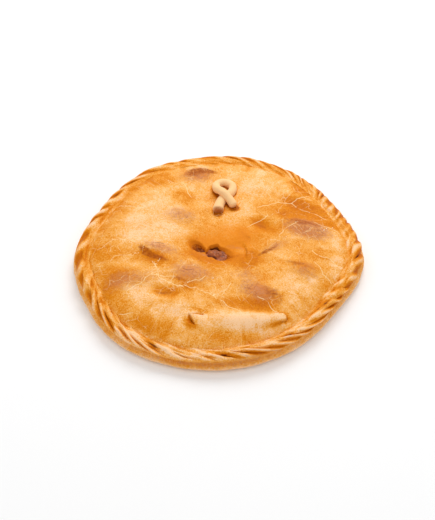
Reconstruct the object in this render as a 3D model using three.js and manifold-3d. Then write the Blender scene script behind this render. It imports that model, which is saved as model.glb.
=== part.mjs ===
// Round double-crust empanada, in millimetres: +Z is up and the origin is the middle of its flat base.
// The crust is one solid, a domed lid on a plain wall, with a twisted rope of dough pressed round the edge.
// The filling shows in the steam vent in the middle, and a small loop of dough lies on the lid.
import * as THREE from 'three';
import { mergeVertices } from 'three/addons/utils/BufferGeometryUtils.js';
import Module from 'manifold-3d';

const wasm = await Module();
wasm.setup();

const FULL_TURN = 2 * Math.PI;
const QUARTER_TURN = Math.PI / 2;
const SHORTEST_EDGE = 0.03;

// Outline: a circle with the slow waves of hand-made dough, each a number of lobes, a swell and a bearing
const PIE_RADIUS = 137.7;
const OUTLINE_WAVES = [
  { lobes: 1, swell: 1.1, bearing: -166 },
  { lobes: 2, swell: 2.6, bearing: 54 },
  { lobes: 3, swell: 1.6, bearing: -4 },
  { lobes: 4, swell: 1.5, bearing: 3 },
  { lobes: 5, swell: 0.7, bearing: -8 },
  { lobes: 6, swell: 1.7, bearing: -1 },
  { lobes: 8, swell: 0.8, bearing: -2 },
];

// Wall: a rounded lip that bulges between the base and the rope, with a groove under the rope
const BASE_RADIUS = 131.2;
const LIP_HALF_HEIGHT = 5.7;
const LIP_STEPS = 5;
const GROOVE = { depth: 1.5, bottom: 6.6, top: 9.4 };

// Lid: a flat-topped dome that dips under the rope, less so at the back, and whose relief dies out there
const LID_REACH = 124;
const LID_EDGE_HEIGHT = 14;
const LID_BACK_LIFT = 3;
const LID_TOP = 29;
const LID_FLATNESS = 4;
const LID_SHOULDER = 0.6;
const RELIEF_MARGIN = 14;
const LID_RINGS = 17;
const BODY_SEGMENTS = 84;

// Rope: a ring of slanted pleats round the top of the wall, thinner in front, that sags in places
const ROPE_CENTRE_RADIUS = { back: 127.9, front: 129.4 };
const ROPE_CENTRE_HEIGHT = { back: 12.6, front: 11.6 };
const ROPE_RADIUS = { back: 8.2, front: 7 };
const ROPE_SAGS = [
  { bearing: 243, spread: 22, depth: 2.4 },
  { bearing: 307, spread: 14, depth: 1.4 },
];
const SAG_ANGLES = { from: -16, to: 40 };
const ROPE_SEEN = { from: -45, to: 190, steps: 10 };
const ROPE_HIDDEN_STEPS = 3;
const ROPE_WAVES = [
  { lobes: 5, rise: 0.6, phase: 0.8 },
  { lobes: 9, rise: 0.4, phase: 2.0 },
];

// Pleats: how high they stand, how much they differ and how full they are across their width
const PLEATS = 46;
const PLEAT_COLUMNS = 5;
const PLEAT_DEPTH = { least: 1.75, most: 3.75 };
const PLEAT_HEIGHT = 0.9;
const PLEAT_VARIATION = 1.6;
const PLEAT_CREST = { place: 0.62, backFlank: 0.5, frontFlank: 0.34, drop: 0.23 };
const PLEAT_BACK_SHARE = 0.4;
const PLEAT_FLATS = [
  { bearing: 97, spread: 24, share: 0.4 },
  { bearing: 38, spread: 34, share: 0.55 },
];

// Reach of the pleats round the rope's section: where they rise and fade, lower on one side, short in front
const PLEAT_RISE = { from: 4, to: 30 };
const PLEAT_FADE = { from: 88, to: 130, share: 0.8 };
const PLEAT_SPREAD = 32;
const PLEAT_SHORTENING = 40;
const PLEAT_LOW = { bearing: -15, spread: 42, drop: 45 };
const PLEAT_SHORT = { bearing: 248, spread: 44, cut: 42 };
const GROOVE_ANGLES = { from: -16, to: 16 };

// Winding of the pleats over the rim, in pleats for a turn of the section, with small waves on the way
const PLEATS_PER_ROPE_TURN = 4.7;
const WINDING_SWING = 2.1;
const WINDING_TIGHTEST = -75;
const CLOSING_PLEATS = 5;
const CREASE_WAVES = [
  { lobes: 5, turns: 1.3, pleats: 0.13, phase: 0.4 },
  { lobes: 11, turns: -0.9, pleats: 0.09, phase: 2.6 },
  { lobes: 17, turns: 1.7, pleats: 0.06, phase: 4.4 },
];

// Pitch of the pleats: tighter on one side, with small waves given in pleats
const PITCH_SWING = 0.28;
const PITCH_TIGHTEST = 25;
const PITCH_WAVES = [
  { lobes: 3, pleats: 0.25, phase: 1.0 },
  { lobes: 7, pleats: 0.12, phase: 2.1 },
  { lobes: 13, pleats: 0.07, phase: 0.4 },
  { lobes: 17, pleats: 0.05, phase: 4.0 },
];

// Relief of the lid: each swelling or dent has its place, half sizes, turn in degrees and rise
const LID_RELIEF = [
  { what: 'dimple round the vent', x: -3, y: -12, long: 18, wide: 13, turn: -10, rise: -3.6 },
  { what: 'back left hill', x: -86, y: 36, long: 27, wide: 20, turn: 60, rise: 2.5 },
  { what: 'front left hill', x: -34, y: -77, long: 25, wide: 11, turn: 0, rise: 2.3 },
  { what: 'front ridge', x: 24, y: -98, long: 34, wide: 6, turn: 3, rise: 3.4 },
  { what: 'flap of the snip', x: -20, y: -95.5, long: 5.5, wide: 4, turn: -35, rise: 2.0 },
  { what: 'front right hill', x: 67, y: -54, long: 21, wide: 16, turn: 35, rise: 2.2 },
  { what: 'back right hill', x: 56, y: 76, long: 36, wide: 14, turn: -28, rise: 2.0 },
  { what: 'back right trough', x: 80, y: 52, long: 26, wide: 8, turn: -20, rise: -2.5 },
  { what: 'dent right of the middle', x: 44, y: 24, long: 11, wide: 6, turn: -20, rise: -2.4 },
  { what: 'dent front left', x: -48, y: -65, long: 11, wide: 5, turn: -15, rise: -2.8 },
  { what: 'left blister', x: -60, y: -11, long: 11, wide: 7, turn: -25, rise: 3.2 },
  { what: 'middle blister', x: -26, y: -42, long: 13, wide: 8, turn: -20, rise: 2.7 },
  { what: 'far left blister', x: -85, y: -40, long: 18, wide: 9, turn: 0, rise: 2.0 },
  { what: 'front right blister', x: 39, y: -66, long: 17, wide: 9, turn: -35, rise: 2.9 },
  { what: 'back right blister', x: 83, y: 22, long: 14, wide: 7, turn: -15, rise: 2.8 },
  { what: 'right blister', x: 78, y: -33, long: 12, wide: 7, turn: -10, rise: 2.3 },
  { what: 'back blister', x: -18, y: 105, long: 12, wide: 6, turn: 10, rise: 2.6 },
  { what: 'back left blister', x: -36, y: 38, long: 12, wide: 9, turn: 0, rise: 1.8 },
];

// Tongue of dough beside the snip: points of its spine, with the half width and softness of its edge there
const TONGUE_HEIGHT = 2.2;
const TONGUE_ROOT = 0.9;
const TONGUE_SPINE = [
  { x: -14, y: -97, half: 8, softness: 0.9 },
  { x: 12, y: -98.5, half: 9.6, softness: 0.9 },
  { x: 36, y: -97.8, half: 6.8, softness: 0.65 },
  { x: 59.5, y: -92.8, half: 3.6, softness: 0.16 },
];

// Steam vent: a mouth torn in two, flared upwards, over a pocket that the filling sits in
const CLEARANCE = 0.4;
const VENT_MOUTHS = [
  { x: -3.2, y: -10.6, long: 8.4, wide: 8.6 },
  { x: -16.4, y: -7.8, long: 4.6, wide: 3.9 },
];
const MOUTH_FLARE = 1.15;
const MOUTH_CUT_HEIGHT = 20;
const POCKET = { x: -5, y: -11, z: 19, long: 18.5, wide: 14, deep: 5.5 };
const FILLING_LUMPS = [
  { x: -6.6, y: -11, z: 21.4, radius: 4.0 },
  { x: 0.6, y: -12, z: 21.6, radius: 3.8 },
  { x: -4, y: -14.6, z: 21.2, radius: 3.4 },
  { x: -2, y: -7.2, z: 21.4, radius: 3.4 },
  { x: -16.2, y: -7.8, z: 20.4, radius: 3.0 },
];

// Front snip: two almond-shaped slits that cross at one point, with a lifted flap of dough between them
const SNIP = { x: -26.4, y: -92.2, depth: 5, overshoot: 1.6 };
const SNIP_SLITS = [
  { length: 14.5, bearing: -5, left: 1.2, right: 0.5 },
  { length: 12.5, bearing: -64, left: 0.2, right: 4.4 },
];
const SNIP_STEPS = 5;

// Loop: a tapered strand that crosses itself, with two tails, pressed a little way into the lid
const LOOP_STRAND = { thin: 4.1, thick: 5.6, taper: 0.3 };
const LOOP_SIDES = 10;
const LOOP_RINGS = 16;
const LOOP_STANDS = 2.0;
const LOOP_BRIDGE = 6.0;
const LOOP_STRETCHES = [
  { from: 0, to: 0.56 },
  { from: 0.48, to: 1 },
];
const LOOP_PATH = [
  { x: 0.2, y: 39, over: 0 },
  { x: 1, y: 47.5, over: 0 },
  { x: 5.9, y: 59, over: 0 },
  { x: 13.5, y: 67.5, over: 0 },
  { x: 14.2, y: 76.5, over: 0 },
  { x: 6.5, y: 82, over: 0 },
  { x: -1, y: 78.2, over: 0.1 },
  { x: -0.8, y: 69.5, over: 0.45 },
  { x: 5.2, y: 60.8, over: 1 },
  { x: 11.6, y: 53.5, over: 0.5 },
  { x: 16.3, y: 46.5, over: 0 },
];

// Colours of the baked dough, the filling and the paler loop
const CRUST_FINISH = { color: 0xe3a258, roughness: 0.45, metalness: 0 };
const FILLING_FINISH = { color: 0x8c4f2c, roughness: 0.5, metalness: 0 };
const LOOP_FINISH = { color: 0xf4c78c, roughness: 0.55, metalness: 0 };

const { clamp, degToRad: radians, euclideanModulo, smoothstep, lerp } = THREE.MathUtils;

// A steady draw from 0 to 1 for a numbered pleat
function draw(number) {
  const value = Math.sin(number * 12.9898) * 43758.5453;
  return value - Math.floor(value);
}

// Radius of the wall in one direction, as a share of the plain circle's
function outlineShare(bearing) {
  let radius = PIE_RADIUS;
  for (const wave of OUTLINE_WAVES) {
    radius += wave.swell * Math.cos(wave.lobes * (bearing - radians(wave.bearing)));
  }
  return radius / PIE_RADIUS;
}

function reliefHeight(x, y) {
  let height = 0;
  for (const form of LID_RELIEF) {
    const turn = radians(form.turn);
    const along = ((x - form.x) * Math.cos(turn) + (y - form.y) * Math.sin(turn)) / form.long;
    const across = ((y - form.y) * Math.cos(turn) - (x - form.x) * Math.sin(turn)) / form.wide;
    height += form.rise * Math.exp(-0.5 * (along * along + across * across));
  }
  return height;
}

function domeHeight(radius, bearing) {
  const edge = LID_EDGE_HEIGHT + (LID_BACK_LIFT * (1 + Math.sin(bearing))) / 2;
  const share = Math.min(radius / LID_REACH, 1);
  return edge + (LID_TOP - edge) * Math.pow(1 - Math.pow(share, LID_FLATNESS), LID_SHOULDER);
}

// Flat-topped tongue of dough, soft where it grows out of the lid and sharp at its far end
function tongueRise(x, y) {
  let nearest = { away: Infinity };
  for (let span = 1; span < TONGUE_SPINE.length; span += 1) {
    const start = TONGUE_SPINE[span - 1];
    const end = TONGUE_SPINE[span];
    const dx = end.x - start.x;
    const dy = end.y - start.y;
    const share = clamp(((x - start.x) * dx + (y - start.y) * dy) / (dx * dx + dy * dy), 0, 1);
    const away = Math.hypot(x - start.x - share * dx, y - start.y - share * dy);
    if (away < nearest.away) nearest = { away, start, end, share, along: span - 1 + share };
  }
  const out = nearest.away / lerp(nearest.start.half, nearest.end.half, nearest.share);
  const softness = lerp(nearest.start.softness, nearest.end.softness, nearest.share);
  const height = TONGUE_HEIGHT * smoothstep(nearest.along, 0, TONGUE_ROOT);
  return height * (1 - smoothstep(out, 1 - softness, 1 + softness));
}

// Height of the finished lid over a place on the base
function lidHeight(x, y) {
  const bearing = Math.atan2(y, x);
  const radius = Math.hypot(x, y) / outlineShare(bearing);
  const hold = 1 - smoothstep(radius, LID_REACH - RELIEF_MARGIN, LID_REACH);
  return domeHeight(radius, bearing) + hold * reliefHeight(x, y) + tongueRise(x, y);
}

// Closed geometry to solid: shared corners merged, and the flat slivers at poles dropped
function solidOf(geometry) {
  const bare = new THREE.BufferGeometry();
  bare.setAttribute('position', geometry.attributes.position.clone());
  if (geometry.index) bare.setIndex(geometry.index.clone());
  const merged = mergeVertices(bare);
  const index = merged.index.array;
  const corners = [];
  for (let i = 0; i < index.length; i += 3) {
    const [a, b, c] = index.slice(i, i + 3);
    if (a !== b && b !== c && c !== a) corners.push(a, b, c);
  }
  return new wasm.Manifold(new wasm.Mesh({
    numProp: 3,
    vertProperties: new Float32Array(merged.attributes.position.array),
    triVerts: new Uint32Array(corners),
  }));
}

// Triangles of a solid, with the corners that a cut left almost touching drawn into one
function facesOf(shape) {
  let faces = [];
  for (let i = 0; i < shape.triVerts.length; i += 3) faces.push([...shape.triVerts.slice(i, i + 3)]);
  const corner = (vertex) => new THREE.Vector3().fromArray(shape.vertProperties, 3 * vertex);
  const neighbours = (vertex) => new Set(faces.filter((face) => face.includes(vertex)).flat());
  const edges = faces.flatMap(([a, b, c]) => [[a, b], [b, c], [c, a]]);
  const short = edges.filter(([a, b]) => a < b && corner(a).distanceTo(corner(b)) < SHORTEST_EDGE);
  for (const [kept, dropped] of short) {
    const rim = neighbours(dropped);
    const shared = [...neighbours(kept)].filter((vertex) => rim.has(vertex));
    const twoFaces = 4;
    if (shared.length !== twoFaces) continue;
    faces = faces.map((face) => face.map((vertex) => (vertex === dropped ? kept : vertex)));
    faces = faces.filter(([a, b, c]) => a !== b && b !== c && c !== a);
  }
  return faces;
}

function meshOf(name, solid, finish) {
  const shape = solid.getMesh();
  const geometry = new THREE.BufferGeometry();
  geometry.setAttribute('position', new THREE.BufferAttribute(new Float32Array(shape.vertProperties), 3));
  geometry.setIndex(facesOf(shape).flat());
  geometry.computeVertexNormals();
  const mesh = new THREE.Mesh(geometry, new THREE.MeshStandardMaterial(finish));
  mesh.name = name;
  return mesh;
}

function joined(solids) {
  return solids.reduce((whole, solid) => whole.add(solid));
}

// Base, bulging wall and lid, turned in one piece and then pulled to the outline and the relief
function pieBody() {
  const profile = [new THREE.Vector2(0, 0)];
  for (let step = 0; step <= LIP_STEPS; step += 1) {
    const angle = -QUARTER_TURN + (Math.PI * step) / LIP_STEPS;
    const radius = BASE_RADIUS + (PIE_RADIUS - BASE_RADIUS) * Math.cos(angle);
    const height = LIP_HALF_HEIGHT * (1 + Math.sin(angle));
    const groove = GROOVE.depth * smoothstep(height, GROOVE.bottom, GROOVE.top);
    profile.push(new THREE.Vector2(radius - groove, height));
  }
  const firstOnLid = profile.length;
  for (let ring = 0; ring < LID_RINGS; ring += 1) {
    const radius = LID_REACH * Math.cos((QUARTER_TURN * ring) / LID_RINGS);
    profile.push(new THREE.Vector2(radius, domeHeight(radius, 0)));
  }
  profile.push(new THREE.Vector2(0, domeHeight(0, 0)));
  const body = new THREE.LatheGeometry(profile, BODY_SEGMENTS);
  body.rotateX(QUARTER_TURN);
  const place = body.attributes.position;
  for (let i = 0; i < place.count; i += 1) {
    const share = outlineShare(Math.atan2(place.getY(i), place.getX(i)));
    const x = place.getX(i) * share;
    const y = place.getY(i) * share;
    const onLid = i % profile.length >= firstOnLid;
    place.setXYZ(i, x, y, onLid ? lidHeight(x, y) : place.getZ(i));
  }
  return solidOf(body);
}

// Bearing of a point that is a number of pleats round the rim
function pleatBearing(pleat) {
  const turn = (FULL_TURN * pleat) / PLEATS;
  let bearing = turn - PITCH_SWING * Math.sin(turn - radians(PITCH_TIGHTEST));
  for (const wave of PITCH_WAVES) {
    bearing += ((FULL_TURN * wave.pleats) / PLEATS) * Math.sin(wave.lobes * turn + wave.phase);
  }
  return bearing;
}

// Bell-shaped share of a bearing near a place that has a bearing and a spread in degrees
function nearBearing(bearing, place) {
  const off = euclideanModulo(bearing - radians(place.bearing) + Math.PI, FULL_TURN) - Math.PI;
  return Math.exp(-Math.pow(off / radians(place.spread), 2));
}

// How far to the front a bearing is, from 0 at the back to 1 in front
function frontShare(bearing) {
  return (1 - Math.sin(bearing)) / 2;
}

// How full a pleat is across its width: a flank, narrower in front, a crest and a drop to the next crease
function pleatCrest(across, bearing) {
  const { place, backFlank, frontFlank, drop } = PLEAT_CREST;
  const spread = across < place ? lerp(backFlank, frontFlank, frontShare(bearing)) : drop;
  return Math.exp(-Math.pow((across - place) / spread, 2));
}

// How much of a pleat shows at an angle round the rope's section
function pleatHold(angle, number, bearing) {
  const late = PLEAT_SPREAD * (draw(number + 7) - 0.5) - PLEAT_LOW.drop * nearBearing(bearing, PLEAT_LOW);
  const rise = smoothstep(angle, PLEAT_RISE.from + late, PLEAT_RISE.to + late);
  const short = PLEAT_SHORT.cut * nearBearing(bearing, PLEAT_SHORT);
  const early = PLEAT_SHORTENING * draw(number + 29) - late + short;
  const fade = smoothstep(angle, PLEAT_FADE.from - early, PLEAT_FADE.to - early);
  const hold = rise * (1 - PLEAT_FADE.share * fade);
  return PLEAT_FLATS.reduce((left, flat) => left * (1 - flat.share * nearBearing(bearing, flat)), hold);
}

// How far the rope stands out of its round section
function pleatRelief(angle, pleat, bearing) {
  const number = Math.floor(pleat);
  const across = pleat - number;
  const crest = pleatCrest(across, bearing);
  const crease = across > 0.5 ? (number + 1) % PLEATS : number;
  const fullness = (PLEAT_HEIGHT + PLEAT_VARIATION * (draw(number) - 0.5)) * crest;
  const depth = lerp(PLEAT_DEPTH.least, PLEAT_DEPTH.most, draw(crease + 3)) * (1 - crest);
  const share = lerp(PLEAT_BACK_SHARE, 1, frontShare(bearing));
  const groove = GROOVE.depth * (1 - smoothstep(angle, GROOVE_ANGLES.from, GROOVE_ANGLES.to));
  return pleatHold(angle, number, bearing) * share * (fullness - depth) - groove;
}

// Radius and size of the rope's round section in one direction
function ropeSection(bearing) {
  const front = frontShare(bearing);
  return {
    radius: lerp(ROPE_CENTRE_RADIUS.back, ROPE_CENTRE_RADIUS.front, front),
    size: lerp(ROPE_RADIUS.back, ROPE_RADIUS.front, front),
  };
}

// Height of the middle of the section, which waves and sags above the foot of the rope
function ropeHeight(bearing, angle) {
  const { back, front } = ROPE_CENTRE_HEIGHT;
  let height = lerp(back, front, frontShare(bearing));
  for (const wave of ROPE_WAVES) height += wave.rise * Math.sin(wave.lobes * bearing + wave.phase);
  for (const sag of ROPE_SAGS) height -= sag.depth * nearBearing(bearing, sag);
  return lerp(back, height, smoothstep(angle, SAG_ANGLES.from, SAG_ANGLES.to));
}

// Angles round the rope's section, from the wall over the top to the lid, then back inside the crust
function ropeAngles() {
  const angles = [];
  const seen = ROPE_SEEN.to - ROPE_SEEN.from;
  for (let step = 0; step <= ROPE_SEEN.steps; step += 1) {
    angles.push(ROPE_SEEN.from + (seen * step) / ROPE_SEEN.steps);
  }
  for (let step = 1; step <= ROPE_HIDDEN_STEPS; step += 1) {
    angles.push(ROPE_SEEN.to + ((360 - seen) * step) / ROPE_HIDDEN_STEPS);
  }
  return angles;
}

// Pleats that a crease has wound round the rim, up to an angle round the rope's section
function woundPleats(angle, pleat) {
  const turn = (FULL_TURN * pleat) / PLEATS;
  const seen = Math.min(angle, ROPE_SEEN.to);
  const swing = WINDING_SWING * Math.cos(2 * (turn - radians(WINDING_TIGHTEST)));
  let wound = ((PLEATS_PER_ROPE_TURN + swing) * (seen - ROPE_SEEN.from)) / 360;
  for (const wave of CREASE_WAVES) {
    wound -= wave.pleats * Math.sin(wave.lobes * turn + wave.turns * radians(seen) + wave.phase);
  }
  return wound;
}

// A point of the rope: its angle round the section, and its pleats round the rim before and after winding
function ropePoint(angle, pleat, wound) {
  const bearing = pleatBearing(pleat - wound);
  const section = ropeSection(bearing);
  const reach = section.size + pleatRelief(angle, pleat, bearing);
  const radius = (section.radius + reach * Math.cos(radians(angle))) * outlineShare(bearing);
  return new THREE.Vector3(
    radius * Math.cos(bearing),
    radius * Math.sin(bearing),
    ropeHeight(bearing, angle) + reach * Math.sin(radians(angle)),
  );
}

// Rope: a ring whose columns follow the creases, so each pleat winds over the rim as a strand
function rope() {
  const angles = ropeAngles();
  const columns = PLEATS * PLEAT_COLUMNS;
  const section = angles.map((angle) => new THREE.Vector2(
    ROPE_CENTRE_RADIUS.back + ROPE_RADIUS.back * Math.cos(radians(angle)),
    ROPE_RADIUS.back * Math.sin(radians(angle)),
  ));
  const ring = new THREE.LatheGeometry(section, columns);
  const place = ring.attributes.position;
  for (let i = 0; i < place.count; i += 1) {
    const row = i % angles.length;
    const closes = row === angles.length - 1;
    const shift = closes ? CLOSING_PLEATS * PLEAT_COLUMNS : 0;
    const pleat = euclideanModulo(Math.floor(i / angles.length) - shift, columns) / PLEAT_COLUMNS;
    const angle = closes ? angles[0] : angles[row];
    const hidden = Math.max((angle - ROPE_SEEN.to) / (360 - ROPE_SEEN.to + ROPE_SEEN.from), 0);
    const wound = lerp(woundPleats(angle, pleat), CLOSING_PLEATS, hidden);
    const point = ropePoint(angle, pleat, wound);
    place.setXYZ(i, point.x, point.y, point.z);
  }
  return solidOf(ring);
}

function ellipsoid(form, grow) {
  const ball = new THREE.SphereGeometry(1, 24, 12);
  ball.scale(form.long + grow, form.wide + grow, form.deep + grow);
  ball.translate(form.x, form.y, form.z);
  return solidOf(ball);
}

// One mouth of the vent, from the middle of the pocket to well above the lid
function ventMouth(mouth) {
  const bore = new THREE.CylinderGeometry(MOUTH_FLARE, 1, MOUTH_CUT_HEIGHT, 20);
  bore.rotateX(QUARTER_TURN);
  bore.scale(mouth.long, mouth.wide, 1);
  bore.translate(mouth.x, mouth.y, POCKET.z + MOUTH_CUT_HEIGHT / 2);
  return solidOf(bore);
}

// One slit of the snip: an almond with its own bulge on either side, cut down from above the lid
function snipSlit(slit) {
  const sides = [];
  for (let step = 0; step < 2 * SNIP_STEPS; step += 1) {
    const swing = (Math.PI * step) / SNIP_STEPS;
    const bulge = swing < Math.PI ? slit.left : slit.right;
    const along = ((slit.length + SNIP.overshoot) * (1 + Math.cos(swing))) / 2 - SNIP.overshoot;
    sides.push(new THREE.Vector2(along, bulge * Math.sin(swing)));
  }
  const cut = { depth: 2 * SNIP.depth, bevelEnabled: false };
  const blade = new THREE.ExtrudeGeometry(new THREE.Shape(sides), cut);
  blade.rotateZ(radians(slit.bearing));
  blade.translate(SNIP.x, SNIP.y, lidHeight(SNIP.x, SNIP.y) - SNIP.depth);
  return solidOf(blade);
}

// Middle line of the loop's strand, standing on the lid and bridging itself where it crosses
function loopCurve() {
  const points = LOOP_PATH.map((point) => {
    const height = lidHeight(point.x, point.y) + LOOP_STANDS + LOOP_BRIDGE * point.over;
    return new THREE.Vector3(point.x, point.y, height);
  });
  return new THREE.CatmullRomCurve3(points, false, 'centripetal');
}

// A stretch of the strand: a capsule turned on its axis, then bent along the curve
function loopStretch(curve, stretch, grow) {
  const profile = [new THREE.Vector2(0, 0)];
  for (let ring = 1; ring < LOOP_RINGS; ring += 1) {
    profile.push(new THREE.Vector2(1, ring / LOOP_RINGS));
  }
  profile.push(new THREE.Vector2(0, 1));
  const strand = new THREE.LatheGeometry(profile, LOOP_SIDES);
  const place = strand.attributes.position;
  for (let i = 0; i < place.count; i += 1) {
    const along = lerp(stretch.from, stretch.to, place.getY(i));
    const ahead = curve.getTangentAt(along);
    const side = new THREE.Vector3(ahead.y, -ahead.x, 0).normalize();
    const up = new THREE.Vector3().crossVectors(side, ahead);
    const taper = smoothstep(along, 0, LOOP_STRAND.taper);
    const radius = lerp(LOOP_STRAND.thick, LOOP_STRAND.thin, taper) + grow;
    const point = curve.getPointAt(along);
    point.addScaledVector(side, place.getX(i) * radius);
    point.addScaledVector(up, place.getZ(i) * radius);
    place.setXYZ(i, point.x, point.y, point.z);
  }
  return solidOf(strand);
}

function doughLoop(grow) {
  const curve = loopCurve();
  return joined(LOOP_STRETCHES.map((stretch) => loopStretch(curve, stretch, grow)));
}

function filling() {
  const lumps = FILLING_LUMPS.map((lump) => {
    const ball = new THREE.IcosahedronGeometry(lump.radius, 1);
    ball.translate(lump.x, lump.y, lump.z);
    return solidOf(ball);
  });
  return joined([ellipsoid(POCKET, -CLEARANCE), ...lumps]);
}

function crust() {
  const cuts = [ellipsoid(POCKET, 0), ...VENT_MOUTHS.map(ventMouth), ...SNIP_SLITS.map(snipSlit)];
  return pieBody().add(rope()).subtract(joined(cuts)).subtract(doughLoop(CLEARANCE));
}

const empanada = new THREE.Group();
empanada.name = 'empanada';
empanada.add(meshOf('crust', crust(), CRUST_FINISH));
empanada.add(meshOf('filling', filling(), FILLING_FINISH));
empanada.add(meshOf('dough_loop', doughLoop(0), LOOP_FINISH));

export default empanada;
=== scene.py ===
"""Round double-crust empanada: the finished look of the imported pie, piece by piece.

Shapes are worked out in millimetres and scaled to the scene's metres when a piece is finished.
"""

import math
from typing import NamedTuple

import bmesh
import bpy
import numpy as np
from bpy.props import FloatProperty, FloatVectorProperty, PointerProperty
from mathutils import Matrix, Vector, geometry, noise


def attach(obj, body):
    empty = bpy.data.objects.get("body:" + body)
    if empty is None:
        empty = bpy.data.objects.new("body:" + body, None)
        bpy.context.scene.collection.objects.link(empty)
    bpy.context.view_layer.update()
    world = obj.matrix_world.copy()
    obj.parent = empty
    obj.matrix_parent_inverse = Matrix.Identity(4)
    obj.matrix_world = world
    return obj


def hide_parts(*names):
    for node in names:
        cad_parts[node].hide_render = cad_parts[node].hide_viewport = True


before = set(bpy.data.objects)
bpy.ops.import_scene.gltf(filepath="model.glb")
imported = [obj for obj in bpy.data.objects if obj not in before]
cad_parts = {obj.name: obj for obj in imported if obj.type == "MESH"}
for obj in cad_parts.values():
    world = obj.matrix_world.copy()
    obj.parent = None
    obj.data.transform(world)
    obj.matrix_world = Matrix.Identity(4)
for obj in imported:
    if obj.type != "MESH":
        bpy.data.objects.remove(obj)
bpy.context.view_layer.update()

bl_info = {
    "name": "Empanada",
    "version": (1, 0, 0),
    "blender": (4, 5, 0),
    "location": "View3D > Sidebar > Empanada",
    "description": "Models and finishes a round double-crust empanada round its packed solids",
    "category": "Add Mesh",
}

MM = 0.001
FULL_TURN = 2 * math.pi

# Points nearer to the axis than the first value become one; the second is an allowance for rounding
POLE_MERGE = 0.0005
ROUNDING = 1e-6

# Steady draws for the traits of numbered pleats: how the numbers are shifted, stretched and spread
TRAITS = {
    "fullness": 0,
    "depth": 3,
    "late start": 7,
    "shaded angle": 11,
    "gold hollow": 17,
    "tuck run": 20,
    "pale crest": 23,
    "early end": 29,
    "pocket angle": 31,
    "tuck lean": 40,
    "crease share": 60,
    "tuck depth": 80,
    "pocket depth": 90,
}
DRAW_STRIDE = 12.9898
DRAW_SPREAD = 43758.5453

# Outline: a circle with slow waves, each a number of lobes with its swell and bearing
PIE_RADIUS = 137.7
OUTLINE_WAVES = (
    (1, 1.1, -166),
    (2, 2.6, 54),
    (3, 1.6, -4),
    (4, 1.5, 3),
    (5, 0.7, -8),
    (6, 1.7, -1),
    (8, 0.8, -2),
)

# Base and wall: a flat round and a lip that bulges up to the rope, and where it starts to be uneven
BASE_RADIUS = 131.2
BASE_RINGS = 4
LIP_HALF_HEIGHT = 5.7
LIP_TOP_ANGLE = 40
LIP_RINGS = 10
WALL_FOOT = 2.0

# Lid: a flat-topped dome that dips under the rope
LID_REACH = 124
LID_START = 120
LID_EDGE_HEIGHT = 14
LID_BACK_LIFT = 3.0
LID_TOP = 29
LID_FLATNESS = 4
LID_SHOULDER = 0.6
RELIEF_MARGIN = 14
LID_INNER_REACH = 36
LID_INNER_RINGS = 42
LID_OUTER_RINGS = 56
EDGE_FOLDS_FROM = 74
EDGE_FOLD_PITCH = 9.0
EDGE_FOLD_RUN = 34

# Lumps: the size of the crust's broad and fine unevenness, the fine one's share and where it is read
LUMP_SIZE = 14.0
FINE_LUMP_SIZE = 3.5
FINE_LUMP_SHARE = 0.22
FINE_LUMP_SHIFT = 500
ROPE_LUMP_SHARE = 0.8

# Rope: its section at the back and in front, waves of its height, and bearing, spread and depth of its sags
ROPE_CENTRE_RADIUS = (127.9, 129.4)
ROPE_CENTRE_HEIGHT = (12.6, 11.6)
ROPE_RADIUS = (8.2, 7.0)
ROPE_WAVES = ((5, 0.6, 0.8), (9, 0.4, 2.0))
ROPE_SAGS = ((243, 22, 2.4), (307, 14, 1.4))

# Rope's section: its angles, from the outer side over the top to the lid, its rings and its edges
ROPE_WOUND_FROM = -45
ROPE_FROM = -16
ROPE_FULL_HEIGHT = 40
ROPE_TO = 166
ROPE_RINGS = 42
ROPE_BLEND = 2.4
GROOVE_TOP = 16
GROOVE_BOTTOM = 6.6

# Pleats: their number and their form across, from one crease to the next
PLEATS = 46
PLEAT_COLUMNS = 12
COLUMN_BUNCHING = 0.6
PLEAT_WIDTH = 8.0
PLEAT_VARIATION = 1.6
PLEAT_CREST = 0.62
PLEAT_FLANK = (0.5, 0.34)
PLEAT_DROP = 0.23
PLEAT_BACK_SHARE = 0.4
PLEAT_DEPTHS = (0.6, 0.7)
CREASE_LINE = 0.8
CREASE_LEAST = 0.35

# Pleats: how they wind round the section, stray and bunch round the rim
PLEATS_PER_ROPE_TURN = 4.7
WINDING_SWING = 2.1
WINDING_TIGHTEST = -75
CREASE_WAVES = ((5, 1.3, 0.13, 0.4), (11, -0.9, 0.09, 2.6), (17, 1.7, 0.06, 4.4))
PITCH_SWING = 0.28
PITCH_TIGHTEST = 25
PITCH_WAVES = ((3, 0.25, 1.0), (7, 0.12, 2.1), (13, 0.07, 0.4), (17, 0.05, 4.0))

# Pleats: angles where they rise and fade, and stretches where they reach lower, end sooner or are flatter
PLEAT_START = (4, 30)
PLEAT_END = (88, 130)
PLEAT_FADE = 0.8
PLEAT_SPREAD = 32
PLEAT_SHORTENING = 40
PLEAT_LOW = ((-25, 36, 42), (262, 26, -26))
PLEAT_SHORT = ((248, 44, 42),)
PLEAT_FLATS = ((97, 24, 0.4), (38, 34, 0.55), (268, 20, 0.35), (13, 15, 0.45), (302, 18, 0.3))

# Ragged flaps along the rope's inner side, with their share at the back and in front
FLAP_WIDTH = 5.0
FLAP_TURN = 45
FLAP_RISE = (50, 85)
FLAP_FALL = (140, 166)
FLAP_SHARE = (0.3, 0.7)
FLAP_SHARPNESS = 2.2

# Pockets between the pleats' inner ends: their angle and its spread, and their place and half width across
POCKET_ANGLE = 100
POCKET_SPREAD = 40
POCKET_HEIGHT = 17
POCKET_ACROSS = 0.15
POCKET_WIDTH = 0.11

# Tucks that run from the rope into the lid: their shortest and longest run, slant, pitch and half width
TUCK_RUN = (5, 20)
TUCK_SLANT = 0.05
TUCK_LEAN = 0.35
TUCK_PITCH = 17.6
TUCK_WIDTH = 1.3


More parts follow.
